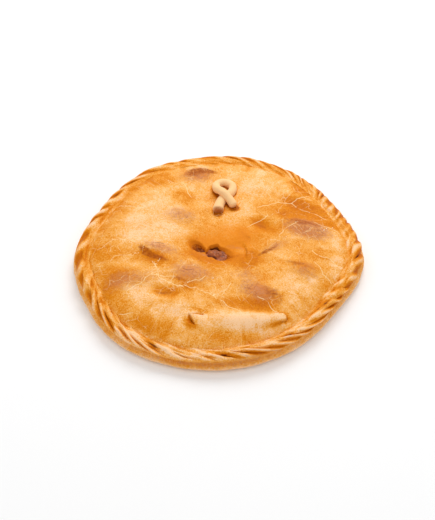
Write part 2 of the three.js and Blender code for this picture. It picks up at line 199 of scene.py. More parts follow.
class Form(NamedTuple):
    """A bell-shaped swelling, dent or patch: its place, half sizes, turn in degrees and strength."""

    x: float
    y: float
    long: float
    wide: float
    turn: float
    rise: float


class Tint(NamedTuple):
    """Tint of a stretch of the rope, between two angles round its section, and its share on the wall."""

    mask: str
    amount: float
    bearing: float
    spread: float
    low: float
    high: float
    wall: float = 0


LID_RELIEF = {
    "dimple round the vent": Form(-3, -12, 18, 13, -10, -3.6),
    "back left hill": Form(-86, 36, 27, 20, 60, 2.5),
    "front left hill": Form(-34, -77, 25, 11, 0, 2.3),
    "front ridge": Form(24, -98, 34, 6, 3, 3.4),
    "flap of the snip": Form(-20, -95.5, 5.5, 4, -35, 2.0),
    "front right hill": Form(67, -54, 21, 16, 35, 2.2),
    "back right hill": Form(56, 76, 36, 14, -28, 2.0),
    "back right trough": Form(80, 52, 26, 8, -20, -2.5),
    "dent right of the middle": Form(44, 24, 11, 6, -20, -2.4),
    "dent front left": Form(-48, -65, 11, 5, -15, -2.8),
    "left blister": Form(-60, -11, 11, 7, -25, 3.2),
    "middle blister": Form(-26, -42, 13, 8, -20, 2.7),
    "far left blister": Form(-85, -40, 18, 9, 0, 2.0),
    "front right blister": Form(39, -66, 17, 9, -35, 2.9),
    "back right blister": Form(83, 22, 14, 7, -15, 2.8),
    "right blister": Form(78, -33, 12, 7, -10, 2.3),
    "back blister": Form(-18, 105, 12, 6, 10, 2.6),
    "back left blister": Form(-36, 38, 12, 9, 0, 1.8),
}

# Steam vent: its torn mouth and the pit beside it, each with the bearing and reach of its long slope
VENT_MOUTH = Form(-3.2, -10.6, 8.4, 8.6, 0, 5.2)
VENT_MOUTH_SLOPE = (-28, 1.5)
VENT_PIT = Form(-16.4, -7.8, 4.8, 4.1, 0, 5.2)
VENT_PIT_SLOPE = (136, 2.6)
HOLE_EDGE = (0.78, 1.08)
TEAR_WAVES = ((3, 0.07, 0.6), (7, 0.05, 2.0))

# Thin flap beside the vent: points of its crease, where along them it starts and ends, its form and painted
# shade
VENT_FLAP = ((22, 4), (25.5, -4), (27.6, -12.5), (26.7, -21.5), (22.5, -28))
VENT_FLAP_START = (0.4, 1.4)
VENT_FLAP_END = (2.6, 3.6)
VENT_FLAP_HEIGHT = 1.0
VENT_FLAP_REACH = 5.0
VENT_FLAP_EDGE = 0.8
VENT_FLAP_SHADED = ((1.0, 1.8), (2.3, 3.2))
VENT_FLAP_SHADE = 0.6
VENT_FLAP_LINE = 0.9

# Front snip: two slits that meet in a point, each with its length, bearing, width and depth
SNIP_APEX = (-26.4, -92.2)
SNIP_LOWER = (12.5, -64, 5.4, 4.2)
SNIP_UPPER = (14.5, -5, 3.2, 2.8)
SNIP_EDGE = 0.5
SNIP_CURVE = 1.4

# Tongue of dough beside the snip: its spine, with the half width and softness of its edge at each point
TONGUE_SPINE = ((-14, -97), (12, -98.5), (36, -97.8), (59.5, -92.8))
TONGUE_HALF_WIDTH = (8.0, 9.6, 6.8, 3.6)
TONGUE_SOFTNESS = (0.9, 0.9, 0.65, 0.16)
TONGUE_HEIGHT = 2.2

# Places where the crust's mesh is split finer: how far round them, and into how many cuts
SNIP_FINER = (17, 3)
TONGUE_TIP_FINER = (9, 1)

# Patches of colour on the lid, by the mask that they add to, each with the values of a Form
LID_PATCHES = {
    "blush": (
        (-54, -9, 13, 5.5, -20, 1.0), (-25, -41, 14, 9, -18, 1.1), (-80, -46, 19, 8, -5, 0.7),
        (40, -65, 16, 9, -35, 0.7), (86, 18, 16, 9, -15, 1.1), (82, -40, 11, 6, -15, 0.6),
        (-21, 97, 13, 9, 0, 1.0), (-36, 36, 13, 8, -15, 0.8), (26, -42, 10, 7, 0, 0.5),
        (-72, 22, 9, 7, 0, 0.25), (55, -6, 10, 4, 35, 0.8), (16, -6.5, 7, 2.2, -14, 0.55),
        (-13, -15.5, 5, 1.8, -25, 0.6), (92, 19, 11, 6, -10, 0.8), (86, -29, 9, 5, 0, 0.35),
        (31, -66, 9, 6, -20, 0.5), (-96, -54, 9, 7, 0, 0.4),
    ),
    # The darkest patches: browning, and painted shade at the blisters' edges
    "scorch_and_shade": (
        (-70, -11.5, 6, 2.4, -42, 1.3), (-60, -20.5, 10, 1.9, -22, 1.3), (51, -69, 11, 5, -38, 0.75),
        (84, 26, 14, 3.6, -12, 0.85), (-14, 103, 10, 2.6, -10, 1.4), (-25, 99, 6, 4, 0, 0.9),
        (47, -12.5, 9, 1.7, 35, 1.1), (-34, -50.5, 12, 2, -25, 0.7), (-49, -64.5, 7, 2.4, -8, 0.8),
        (43, 23, 7, 1.6, -32, 0.6), (75, -30, 10, 2.6, -18, 0.75), (11, -16.5, 6, 1.8, -32, 0.7),
        (27.5, 7, 5, 2.2, -40, 0.5),
    ),
    # Deep glaze, and painted shade on slopes, at blisters and under the loop
    "gold_and_shade": (
        (43.5, 22.5, 10, 3.6, -35, 1.5), (31, -21, 4, 6.5, 0, 1.4), (27, -31, 6, 3, 20, 0.8),
        (25, 8, 5, 7, 20, 0.7), (-28.5, -98, 2.5, 4.5, 20, 1.0), (-23, -104, 4, 1.6, -25, 0.9),
        (-16, -88.5, 7, 2, -15, 0.9), (28, -80, 17, 5, -14, 0.9), (-50, -64.5, 9, 4, -10, 1.5),
        (-31, -60, 8, 4, -10, 0.6), (78, 50, 26, 8, -8, 0.85), (84, 33, 20, 5, -12, 0.9),
        (82, 84, 14, 8, -40, 0.6), (-35, -51, 12, 4, -25, 0.7), (-94, -37, 9, 5, 0, 0.5),
        (-86, -10, 14, 6, 10, 0.4), (12, -114, 28, 5, 0, 0.5), (-31, 65, 7, 4, -40, 0.6),
        (-40, -75, 10, 5, 0, 0.4), (-7, -110, 8, 6, 0, 0.45), (-88, -70, 8, 6, 0, 0.5),
        (-12, -16, 9, 4, -10, 0.7), (18, -80, 20, 5, -5, 0.4), (-112, 0, 9, 40, 0, 0.5),
        (108, 50, 8, 18, 10, 0.3), (-80, 86, 34, 6, 46, 0.6), (6, -34, 24, 8, 0, 0.3),
        (72, 2, 30, 11, 0, 0.3), (-22, 58, 30, 6, 10, 0.25), (-98, 51, 9, 9, 0, 0.6),
        (-58, -101, 15, 6, -22, 1.4), (-62, -25, 12, 5, -15, 0.8), (3, 43, 14, 5, 0, 0.7),
        (-15, -10, 8, 9, 0, 0.8), (-24.5, 0.5, 5, 4, 0, 0.8), (3, -17, 16, 5, -8, 0.9),
        (4, -28, 14, 5, 0, 0.5), (14, -16, 9, 4, -25, 0.8), (45, -23, 8, 5, 0, 0.5),
        (-56, 87, 10, 5, 20, 0.8), (74, 60, 10, 6, -20, 0.5), (-62, -19, 12, 4, -26, 0.55),
        (-100, -58, 7, 9, 0, 0.6), (44, -47, 10, 7, 0, 0.4), (46, -69, 12, 6, -35, 0.85),
        (80, -30, 12, 5, -15, 0.9), (78, -82, 10, 8, 30, 0.3), (104, -53, 6, 10, 0, 0.5),
        (-90, 47, 9, 8, 0, 0.4), (18, -85, 11, 4, 0, 0.4), (88, -16, 10, 6, 0, 0.5),
        (87, 32, 16, 5, -10, 1.3), (18, -4, 9, 5, -10, 0.6), (-15, -18, 9, 4, -20, 0.6),
        (63, 20, 7, 5, 0, 0.5),
    ),
    "oil": (
        (2, -4, 26, 18, 0, 0.9), (18, 12, 22, 14, 20, 0.4),
    ),
    # Paler dough, and painted highlights on hills
    "pale": (
        (-80, 34, 26, 20, 60, 0.78), (24, 82, 42, 17, -10, 0.36), (-32, -82, 25, 8, 0, 0.4),
        (66, -56, 16, 10, 35, 0.65), (36, -97, 24, 6, 3, 0.45), (-19, -97, 5, 3.5, -35, 0.9),
        (-62, -34, 16, 6, -10, 0.4), (24, 40, 18, 12, 0, 0.6), (112, -30, 5, 7, 0, 1.2),
        (114, -4, 5, 15, 5, 0.9), (-29, -104, 14, 7, 0, 1.1), (-38, -93, 13, 8, 0, 1.2),
        (-55, 8, 18, 6, 5, 0.8), (-68, -63, 14, 6, 0, 0.7), (-55, 48, 12, 11, 0, 0.8),
        (43, 71, 14, 9, -20, 0.6), (40, -104, 16, 4, 5, 0.6), (20, -11.5, 5, 2.2, -35, 0.9),
        (-27, -110, 12, 5, 0, 0.8), (-46, -92, 8, 7, 0, 1.0), (57, -91, 8, 8, 20, 0.6),
        (-38, 18, 12, 7, 0, 0.7), (30, -105, 26, 6, 3, 0.6), (-55, -53, 9, 4, -20, 0.6),
        (-74, -67, 14, 9, 0, 0.7), (-28, -108, 13, 8, 0, 0.9), (114, -11, 5, 9, 0, 0.5),
        (70, -15, 16, 12, 0, 0.45), (52, 66, 14, 8, -20, 0.5), (62, -77, 8, 6, 0, 0.5),
        (54, 33, 9, 5, 0, 0.5), (79, 6, 8, 4, 0, 0.5), (-62, -82, 7, 5, 0, 0.3),
        (-86, -53, 9, 6, 0, 0.45),
    ),
}

# Tints of stretches of the rope, with soft edges, and stretches where its painted crease shade is softer
ROPE_TINTS = (
    Tint("gold_and_shade", 0.5, 193, 16, -180, 360),
    Tint("pale", 0.5, 135, 65, 50, 120),
    Tint("pale", 0.6, 28, 32, 100, 360),
    Tint("pale", 0.75, 252, 50, -180, 105),
    Tint("gold_and_shade", 0.6, 264, 22, -180, 35, 0.65),
    Tint("blush", 0.45, 268, 32, -180, 35, 0.65),
)
TINT_EDGE = 15
SOFT_CREASES = ((302, 22, 0.5), (246, 24, 0.4))
DEEP_HOLLOWS = (345, 45)

# Painted shade in dark lines along the creases: their strength and half width, and the angles where they
# show
CREASE_SHADE = 1.25
CREASE_SHADE_WIDTH = 0.9
CREASE_SHADE_ANGLE = 50
CREASE_SHADE_SPREAD = 60
CREASE_SHADE_RUN = 30

# Painted shade in the pleats' hollows, highlights on their crests: how much at least, and how far that
# differs
HOLLOW_LEAST = 0.9
CREST_LEAST = 0.8
SHADE_SPREAD = 0.7

# Painted shade and light by height or depth: the mask that each adds to, its amount, and where it starts
# and is full
# Painted shade in the pleats' hollows, deeper in one stretch of the rim
HOLLOW_SHADE = (("gold_and_shade", 1.0, 0.95, 0.3),)
DEEP_HOLLOW_SHADE = (("gold_and_shade", 0.4, 0.97, 0.5),)
# Painted highlights on the pleats' crests, pale and pinkish
CREST_HIGHLIGHT = (("pale", 1.0, 0.65, 1.0),)
CREST_PINK_SHEEN = (("blush", 0.4, 0.55, 1.0),)
# Painted highlights on the flaps and painted shade in the slits between them
FLAP_SHADES = (("pale", 0.9, 0.0, 0.3), ("gold_and_shade", 0.8, -0.05, -0.35), ("crease", 0.8, -0.3, -0.55))
# Painted shade under the rope and painted bounce light at the wall's foot
WALL_SHADE_AND_BOUNCE_LIGHT = (("gold_and_shade", 0.25, 3.5, 9), ("pale", 1.0, 8, 2))
WALL_TONES = (("pale", 0.5), ("blush", 0.3))
# Painted shade in the folds' hollows and painted highlights on their ridges
FOLD_SHADES = (("gold_and_shade", 0.3, -0.02, -0.4), ("pale", 0.15, 0.05, 0.4))
# Painted shade on slopes that face the front and painted light on slopes that face the back
SLOPE_SHADE = (("gold_and_shade", 0.45, 0.04, 0.24),)
SLOPE_SHADE_FROM = (-92, -78)
HILL_HIGHLIGHT = (("pale", 0.35, -0.04, -0.22),)
# Painted shadow round the loop's foot
LOOP_CAST_SHADOW = (("gold_and_shade", 0.8, 7, 4), ("scorch_and_shade", 0.9, 6, 4))
# Painted shade that deepens into the vent and the snip
VENT_SHADE = (("gold_and_shade", 1.1, 0.15, 1.4),)
MOUTH_SHADES = (("scorch_and_shade", 0.55, 1.2, 2.8), ("crease", 1.0, 2.6, 4.4))
PIT_SHADES = (("scorch_and_shade", 1.2, 1.2, 3.4), ("crease", 0.6, 3.0, 5.0))
SNIP_SHADES = (("gold_and_shade", 1.0, 0.2, 1.5), ("crease", 0.7, 2.4, 4.2))

# Hairline cracks of the glaze, each a few points of its way over the lid
CRACKS = (
    ((-62, -26), (-57, -36), (-56, -46), (-46, -53), (-36, -57), (-20, -60), (-8, -68), (0, -74), (8, -82),
     (29, -91)),
    ((-55, -24), (-61, -34), (-62, -44), (-51, -46), (-40, -47)),
    ((-62, -42), (-71, -53), (-85, -61)),
    ((37, -73), (46, -78), (55, -88), (60, -92)),
    ((40, 48), (60, 57), (73, 57), (86, 67), (96, 63)),
    ((73, 57), (84, 47), (98, 43), (107, 37)),
    ((94, 29), (111, 23), (119, 16)),
    ((90, -10), (104, -17), (118, -28)),
    ((92, -25), (101, -40), (113, -53)),
    ((60, 10), (69, 21), (81, 28)),
    ((-116, -4), (-101, 5), (-89, 4), (-80, 0)),
    ((-102, -22), (-98, -16), (-76, -15)),
    ((-101, -84), (-90, -84), (-78, -86)),
    ((-31, -57), (-17, -52), (-12, -47)),
    ((-14, -63), (-3, -69), (5, -72)),
    ((4, -69), (8, -62), (12, -55)),
    ((28, 20), (38, 28), (49, 37)),
    ((-52, 92), (-44, 86), (-34, 84)),
    ((-34, 84), (-30, 70), (-26, 62)),
    ((-100, 56), (-88, 52), (-74, 48)),
    ((2, 106), (16, 100), (24, 104)),
)
DARK_CRACKS = (
    ((-60, -3), (-55, -2.6), (-52, -3.4)),
    ((-33, -37), (-28, -40), (-24, -40)),
)
EDGE_CRACKS = 60
EDGE_CRACK_REACH = (70, 118)
EDGE_CRACK_TURN = 1.3
CRACK_SEED = 7
CRACK_FAR = 6.0
CRACK_SPAN = 4.0
CRACK_STRAY = 0.09
BRANCH_TURN = 0.6
BRANCH_SPAN = (3, 7)

# Fine lines in the finish: a web over the lid, wrinkles in the blisters and marks that fan out to the rope
WEB_SIZE = 13.0
WRINKLE_SIZE = 4.5
STRETCH_WIDTH = 1.8
STRETCH_SHARE = 0.07
STRETCH_REACH = (50, 105)
STRETCH_STRENGTH = 0.2
WEB_STRAY = 7.0
WEB_STRAY_SIZE = 9.0

# Loop: a tapered strand that crosses itself, each point with how far it bridges what lies under it
LOOP_PATH = (
    (0.2, 39, 0),
    (1, 47.5, 0),
    (5.9, 59, 0),
    (13.5, 67.5, 0),
    (14.2, 76.5, 0),
    (6.5, 82, 0),
    (-1, 78.2, 0.1),
    (-0.8, 69.5, 0.45),
    (5.2, 60.8, 1),
    (11.6, 53.5, 0.5),
    (16.3, 46.5, 0),
)
LOOP_STANDS = 2.0
LOOP_BRIDGE = 6.0
LOOP_TAPER = 0.3
LOOP_SIDES = 28
LOOP_STEPS_PER_SPAN = 12
LOOP_SEED = 3
LOOP_UNEVENNESS = 0.35
LOOP_LUMP_SIZE = 4.5
LOOP_END_SHARE = 0.15
LOOP_TIP = 0.25
LOOP_ROUNDING = 0.8
LOOP_BROWNED = ((0.85, 7), (0.5, 5))

# Filling: a bed under the lid, the lumps that show in the vent and the gaps along the vent's edge
FILLING_BED = Form(-5, -11, 18.1, 13.6, 0, 5.1)
FILLING_FOOT = 19.0
FILLING_UNEVENNESS = 0.7
FILLING_CRUMB = 2.6
FILLING_LUMPS = (
    (-6.6, -11, 21.4, 4.0),
    (0.6, -12, 21.6, 3.8),
    (-4, -14.6, 21.2, 3.4),
    (-2, -7.2, 21.4, 3.4),
    (-16.2, -7.8, 19.4, 3.0),
)
# The gaps are sunk into the filling and given painted shade
FILLING_GAPS = (
    Form(-5.2, -3.2, 3.4, 1.5, -12, 3.4),
    Form(0.4, -5.0, 2.4, 1.1, -35, 2.2),
    Form(-5.6, -16.6, 3.6, 1.8, 0, 3.6),
    Form(-15.0, -8.5, 4.5, 3.0, 0, 2.0),
)

# Loose grains of salt on the lid: how high they stand and how worn their edges are, as shares of their size
SALT_PLACES = ((104, 20), (103, 18.2), (106, 21.5), (101.5, 21), (-4.6, -49), (61, 12), (66, 7), (112, 25))
SALT_SIZE = 0.75
SALT_VARIATION = (0.7, 1.3)
SALT_SEED = 5
SALT_STANDS = 0.3
SALT_WORN = 0.18

# Stage, in metres, and the width of the camera's sensor in millimetres
FLOOR_HALF = 6
SENSOR_WIDTH = 36
LOOKED_AT = Vector((-0.00035, -0.0085, 0.012))
LIT_SPOT = Vector((0, 0, 0.02))
KEY_PLACE = Vector((0.25, 1.0, 1.15))
KEY_SIZE = 0.9
FILL_PLACE = Vector((-0.5, -0.2, 1.5))
FILL_SIZE = 1.2


def srgb(red, green, blue):
    """Linear colour of an 8-bit sRGB one."""
    shares = [channel / 255 for channel in (red, green, blue)]
    return tuple(
        share / 12.92 if share <= 0.04045 else ((share + 0.055) / 1.055) ** 2.4 for share in shares
    )


def length(name, description, millimetres):
    """Property that holds a length."""
    return FloatProperty(
        name=name, description=description, default=millimetres * MM, min=0, unit="LENGTH", precision=5
    )


def colour(name, description, default):
    """Property that holds a colour."""
    return FloatVectorProperty(
        name=name, description=description, default=default, subtype="COLOR", min=0, max=1
    )


def power(name, description, watts):
    """Property that holds the power of a light."""
    return FloatProperty(name=name, description=description, default=watts, min=0, unit="POWER")


class EmpanadaSizes(bpy.types.PropertyGroup):
    """Sizes of the crust's relief."""

    pleat_depth: length("Pleat depth", "Depth of the creases between the rope's pleats", 2.9)
    crease_depth: length("Crease depth", "Extra depth of the narrow line along a crease", 1.6)
    crest_height: length("Crest height", "How far the pleats' crests stand out of the rope", 0.9)
    pocket_depth: length("Pocket depth", "Depth of the small pockets between the pleats' inner ends", 2.0)
    flap_height: length("Flap height", "Height of the ragged flaps along the rope's inner side", 1.1)
    groove_depth: length("Groove depth", "Depth of the groove between the rope and the wall", 1.5)
    fold_height: length("Fold height", "Height of the folds that run from the rope into the lid", 0.5)
    tuck_depth: length("Tuck depth", "Depth of the tucks that run from the rope into the lid", 0.8)
    lump_height: length("Lump height", "Unevenness of the whole crust", 0.55)
    strand_thin: length("Thin strand", "Radius of the loop's strand along most of its way", 4.1)
    strand_thick: length("Thick strand", "Radius of the loop's strand at its blunt end", 5.6)


class EmpanadaColours(bpy.types.PropertyGroup):
    """Colours of the baked dough and the filling."""

    baked: colour("Baked", "Most of the glazed crust", srgb(240, 170, 78))
    # Paler dough, and also painted highlights and painted bounce light
    pale: colour("Pale", "Hills that took less colour", srgb(252, 206, 158))
    # Deep glaze, and also painted shade in hollows, slits and the vent and on slopes that face the front
    gold_and_shade: colour("Gold", "Deep glaze in dents and on slopes", srgb(221, 130, 6))
    # Deepest glaze, and also the deepest painted shade
    amber: colour("Amber", "Deepest glaze", srgb(198, 104, 0))
    # Browned blisters, and also a pinkish painted sheen on the rope's crests
    blush: colour("Blush", "Browned blisters", srgb(202, 132, 86))
    # Darkest browning, and also painted shade at blisters' edges, in the vent, at the tongue's tip and
    # round the loop
    scorch_and_shade: colour("Scorch", "Darkest edges of the blisters", srgb(158, 74, 6))
    oil: colour("Oil", "Oil soaked in round the vent", srgb(236, 138, 30))
    # Painted shade in creases, slits, the vent and the filling's gaps, and dark hairlines
    crease: colour("Crease", "Shaded lines between the pleats", srgb(112, 48, 12))
    crack: colour("Crack", "Hairlines where the glaze has split", srgb(254, 222, 166))
    loop: colour("Loop", "Pale dough of the loop", srgb(246, 200, 142))
    loop_end: colour("Loop end", "Browned ends of the loop", srgb(176, 98, 42))
    filling: colour("Filling", "Cooked filling", srgb(180, 102, 60))
    filling_dark: colour("Dark filling", "Hollows of the filling", srgb(116, 54, 22))
    salt: colour("Salt", "Loose grains", srgb(252, 240, 220))


class EmpanadaStage(bpy.types.PropertyGroup):
    """Camera, light and floor."""

    elevation: FloatProperty(
        name="Elevation",
        description="Camera's angle above the floor",
        default=math.radians(46),
        subtype="ANGLE",
    )
    distance: length("Distance", "From the camera to the point that it looks at", 1300)
    lens: FloatProperty(name="Lens", description="Focal length in millimetres", default=93.21, min=1)
    sky: FloatProperty(name="Sky", description="Strength of the light from all round", default=0.8, min=0)
    key_power: power("Key power", "Power of the large light behind the pie", 11)
    fill_power: power("Fill power", "Power of the soft light above the pie", 1)
    floor: colour("Floor", "Plain pale floor", (0.92, 0.92, 0.92))


def smooth(value, low, high):
    """Smooth step from 0 at low to 1 at high."""
    share = np.clip((value - low) / (high - low), 0, 1)
    return share * share * (3 - 2 * share)


def draw(number, trait):
    """A steady draw from 0 to 1 for a trait of a numbered pleat, the same as the solid's."""
    value = np.sin((number + TRAITS[trait]) * DRAW_STRIDE) * DRAW_SPREAD
    return value - np.floor(value)


def bell(form, x, y):
    """Gaussian share of a form at each place."""
    turn = math.radians(form.turn)
    along = ((x - form.x) * math.cos(turn) + (y - form.y) * math.sin(turn)) / form.long
    across = ((y - form.y) * math.cos(turn) - (x - form.x) * math.sin(turn)) / form.wide
    return np.exp(-0.5 * (along * along + across * across))


def forms_at(forms, x, y):
    """Sum of bell-shaped forms at each place."""
    return sum(form.rise * bell(form, x, y) for form in forms)


def near_bearing(bearing, middle, spread):
    """Bell-shaped share of each bearing near one; the middle and the spread are in degrees."""
    off = np.angle(np.exp(1j * (bearing - math.radians(middle))))
    return np.exp(-((off / math.radians(spread)) ** 2))


def round_rim(bearing, stretches):
    """Sum of bell-shaped stretches of the rim, each with its bearing, spread and amount."""
    return sum(amount * near_bearing(bearing, middle, spread) for middle, spread, amount in stretches)


def unevenness(places, size, octaves):
    """Fractal noise of a given size at each place, roughly from -1 to 1."""
    return np.array([noise.fractal(Vector(place), 1.0, 2.0, octaves) for place in places / size])


def outline_share(bearing):
    """Radius of the outline in one direction, as a share of the plain circle's."""
    waves = sum(swell * np.cos(lobes * (bearing - math.radians(at))) for lobes, swell, at in OUTLINE_WAVES)
    return 1 + waves / PIE_RADIUS


def plain_reach(x, y):
    """Distance from the middle, with the outline's waves taken out."""
    return np.hypot(x, y) / outline_share(np.arctan2(y, x))


def lid_height(x, y):
    """Height of the lid with its main relief, the same as the solid's."""
    reach = plain_reach(x, y)
    share = np.clip(reach / LID_REACH, 0, 1)
    edge = LID_EDGE_HEIGHT + LID_BACK_LIFT * (1 + np.sin(np.arctan2(y, x))) / 2
    dome = edge + (LID_TOP - edge) * (1 - share**LID_FLATNESS) ** LID_SHOULDER
    hold = 1 - smooth(reach, LID_REACH - RELIEF_MARGIN, LID_REACH)
    return dome + hold * forms_at(LID_RELIEF.values(), x, y)


def near_path(path, x, y):
    """Distance from each place to a path, the side it is on, and how far along it the nearest point is."""
    nearest = np.full(x.shape, np.inf)
    side = np.ones(x.shape)
    along = np.zeros(x.shape)
    for number, (start, end) in enumerate(zip(path, path[1:])):
        span_x, span_y = end[0] - start[0], end[1] - start[1]
        from_x, from_y = x - start[0], y - start[1]
        share = (from_x * span_x + from_y * span_y) / (span_x * span_x + span_y * span_y)
        share = np.clip(share, 0, 1)
        away = np.hypot(from_x - share * span_x, from_y - share * span_y)
        closer = away < nearest
        nearest = np.where(closer, away, nearest)
        side = np.where(closer, np.sign(span_x * from_y - span_y * from_x), side)
        along = np.where(closer, number + share, along)
    return nearest, side, along


def hole_drop(hole, slope, x, y):
    """How far the lid drops into a torn hole that has a long slope on one side."""
    bearing = np.arctan2(y - hole.y, x - hole.x)
    tear = sum(depth * np.sin(lobes * bearing + phase) for lobes, depth, phase in TEAR_WAVES)
    out = np.hypot((x - hole.x) / hole.long, (y - hole.y) / hole.wide) + tear
    leaning, reach = slope
    easy = np.clip(np.cos(bearing - math.radians(leaning)), 0, 1) ** 3
    inner, outer = HOLE_EDGE
    return hole.rise * (1 - smooth(out, inner, outer + reach * easy))


def flap_step(x, y):
    """Height of the thin flap beside the vent, which ends in a curved crease."""
    away, side, along = near_path(VENT_FLAP, x, y)
    hold = smooth(along, *VENT_FLAP_START) * (1 - smooth(along, *VENT_FLAP_END))
    step = np.exp(-((away / VENT_FLAP_REACH) ** 2)) * smooth(away, 0, VENT_FLAP_EDGE)
    return VENT_FLAP_HEIGHT * hold * np.where(side < 0, -1, 1) * step


def vent_drop(x, y):
    """How far the lid drops into the vent: its mouth, the pit beside it and the step of the flap."""
    mouth = hole_drop(VENT_MOUTH, VENT_MOUTH_SLOPE, x, y)
    pit = hole_drop(VENT_PIT, VENT_PIT_SLOPE, x, y)
    return np.maximum(mouth, pit) - flap_step(x, y)


def slit_frame(slit, x, y):
    """Distances along and to the left of a slit that starts at the snip's point."""
    turn = math.radians(slit[1])
    from_x, from_y = x - SNIP_APEX[0], y - SNIP_APEX[1]
    along = from_x * math.cos(turn) + from_y * math.sin(turn)
    return along, from_y * math.cos(turn) - from_x * math.sin(turn)


def snip_drop(x, y):
    """How far the lid drops beside the flap: an almond pit below it and a narrow hollow above it."""
    length_below, _, wide_below, deep_below = SNIP_LOWER
    along, left = slit_frame(SNIP_LOWER, x, y)
    swell = np.sin(math.pi * np.clip((along + 1) / (length_below + 1), 0, 1))
    hollow = np.clip(1 + left / (wide_below * swell + 0.01), 0, 1) ** SNIP_CURVE
    below = deep_below * swell**0.6 * hollow * (1 - smooth(left, 0, SNIP_EDGE))
    length_above, _, wide_above, deep_above = SNIP_UPPER
    along, left = slit_frame(SNIP_UPPER, x, y)
    swell = smooth(along, -1, 9) * (1 - smooth(along, 11, length_above + 1))
    hollow = np.clip(1 - left / (0.5 + wide_above * swell), 0, 1) ** SNIP_CURVE
    above = deep_above * swell * hollow * smooth(left, -SNIP_EDGE, 0)
    return np.where(along > -2, np.maximum(below, above), 0)


def tongue_place(x, y):
    """Distance from the tongue's spine in half widths, the side it is on, and how far along the spine."""
    away, side, along = near_path(TONGUE_SPINE, x, y)
    points = range(len(TONGUE_SPINE))
    return away / np.interp(along, points, TONGUE_HALF_WIDTH), side, along


def tongue_rise(x, y):
    """Flat-topped tongue of dough, soft where it grows out of the lid and sharp at its far end."""
    out, _, along = tongue_place(x, y)
    softness = np.interp(along, range(len(TONGUE_SPINE)), TONGUE_SOFTNESS)
    return TONGUE_HEIGHT * (1 - smooth(out, 1 - softness, 1 + softness)) * smooth(along, 0.0, 0.9)


def pleat_bearing(pleat):
    """Bearing of a point that is a number of pleats round the rim."""
    turn = FULL_TURN * pleat / PLEATS
    bearing = turn - PITCH_SWING * np.sin(turn - math.radians(PITCH_TIGHTEST))
    for lobes, pleats, phase in PITCH_WAVES:
        bearing = bearing + FULL_TURN * pleats / PLEATS * np.sin(lobes * turn + phase)
    return bearing


def front_share(bearing):
    """How far to the front a bearing is, from 0 at the back to 1 in front."""
    return (1 - np.sin(bearing)) / 2


def rope_section(bearing):
    """Radius and height of the middle of the rope's section and its size, which is less in front."""
    front = front_share(bearing)
    sizes = (ROPE_CENTRE_RADIUS, ROPE_CENTRE_HEIGHT, ROPE_RADIUS)
    radius, height, size = (back + (ahead - back) * front for back, ahead in sizes)
    return radius, height - round_rim(bearing, ROPE_SAGS), size


def pleat_crest(across, bearing):
    """Fullness of a pleat across its width: a flank, narrower in front, a crest and a steep drop."""
    back, front = PLEAT_FLANK
    spread = np.where(across < PLEAT_CREST, back + (front - back) * front_share(bearing), PLEAT_DROP)
    return np.exp(-(((across - PLEAT_CREST) / spread) ** 2))


def wound_pleats(angle, pleat):
    """Pleats that a crease has wound round the rim by an angle round the rope's section."""
    swing = WINDING_SWING * np.cos(2 * (FULL_TURN * pleat / PLEATS - math.radians(WINDING_TIGHTEST)))
    return (PLEATS_PER_ROPE_TURN + swing) * (angle - ROPE_WOUND_FROM) / 360


def crease_wander(angle, pleat):
    """Pleats by which a crease strays from its even winding, in small waves round rim and section."""
    turn = FULL_TURN * pleat / PLEATS
    return sum(
        pleats * np.sin(lobes * turn + turns * np.radians(angle) + phase)
        for lobes, turns, pleats, phase in CREASE_WAVES
    )


class Station(NamedTuple):
    """A ring of the crust's section: its zone and its place there."""

    zone: str
    place: float


def crust_stations():
    """Rings of the section, from the middle of the base over wall and rope to the middle of the lid."""
    stations = [Station("base", BASE_RADIUS * ring / BASE_RINGS) for ring in range(BASE_RINGS)]
    stations += [Station("lip", angle) for angle in np.linspace(-90, LIP_TOP_ANGLE, LIP_RINGS)]
    stations += [Station("rope", angle) for angle in np.linspace(ROPE_FROM, ROPE_TO, ROPE_RINGS)]
    outer = np.linspace(LID_START, LID_INNER_REACH, LID_OUTER_RINGS)
    inner = np.linspace(LID_INNER_REACH, 0, LID_INNER_RINGS + 1)
    return stations + [Station("lid", reach) for reach in (*outer, *inner[1:])]


def section_point(station):
    """Plain radius and height of a station, before any relief."""
    if station.zone == "base":
        return station.place, 0
    if station.zone == "lip":
        angle = math.radians(station.place)
        radius = BASE_RADIUS + (PIE_RADIUS - BASE_RADIUS) * math.cos(angle)
        return radius, LIP_HALF_HEIGHT * (1 + math.sin(angle))
    if station.zone == "rope":
        angle = math.radians(station.place)
        radius, height, size = ROPE_CENTRE_RADIUS[0], ROPE_CENTRE_HEIGHT[0], ROPE_RADIUS[0]
        return radius + size * math.cos(angle), height + size * math.sin(angle)
    return station.place, LID_TOP


def turned_crust(stations):
    """Section of the crust turned into a closed shell, with each ring's number kept in a layer."""
    shell = bmesh.new()
    ring = shell.verts.layers.float.new("ring")
    column = shell.verts.layers.float.new("column")
    chain = []
    for number, station in enumerate(stations):
        radius, height = section_point(station)
        corner = shell.verts.new((radius, 0, height))
        corner[ring] = number
        chain.append(corner)
    edges = [shell.edges.new(pair) for pair in zip(chain, chain[1:])]
    columns = PLEATS * PLEAT_COLUMNS
    bmesh.ops.spin(
        shell,
        geom=chain + edges,
        cent=(0, 0, 0),
        axis=(0, 0, 1),
        angle=FULL_TURN,
        steps=columns,
        use_merge=True,
    )
    for corner in shell.verts:
        corner[column] = round(math.atan2(corner.co.y, corner.co.x) / FULL_TURN * columns) % columns
    poles = [corner for corner in shell.verts if math.hypot(corner.co.x, corner.co.y) < POLE_MERGE]
    bmesh.ops.remove_doubles(shell, verts=poles, dist=POLE_MERGE)
    return shell


def column_pleat(column):
    """Pleats round the rim of a column, with the columns drawn closer together near the creases."""
    share = column / PLEAT_COLUMNS
    return share - COLUMN_BUNCHING * np.sin(FULL_TURN * share) / FULL_TURN


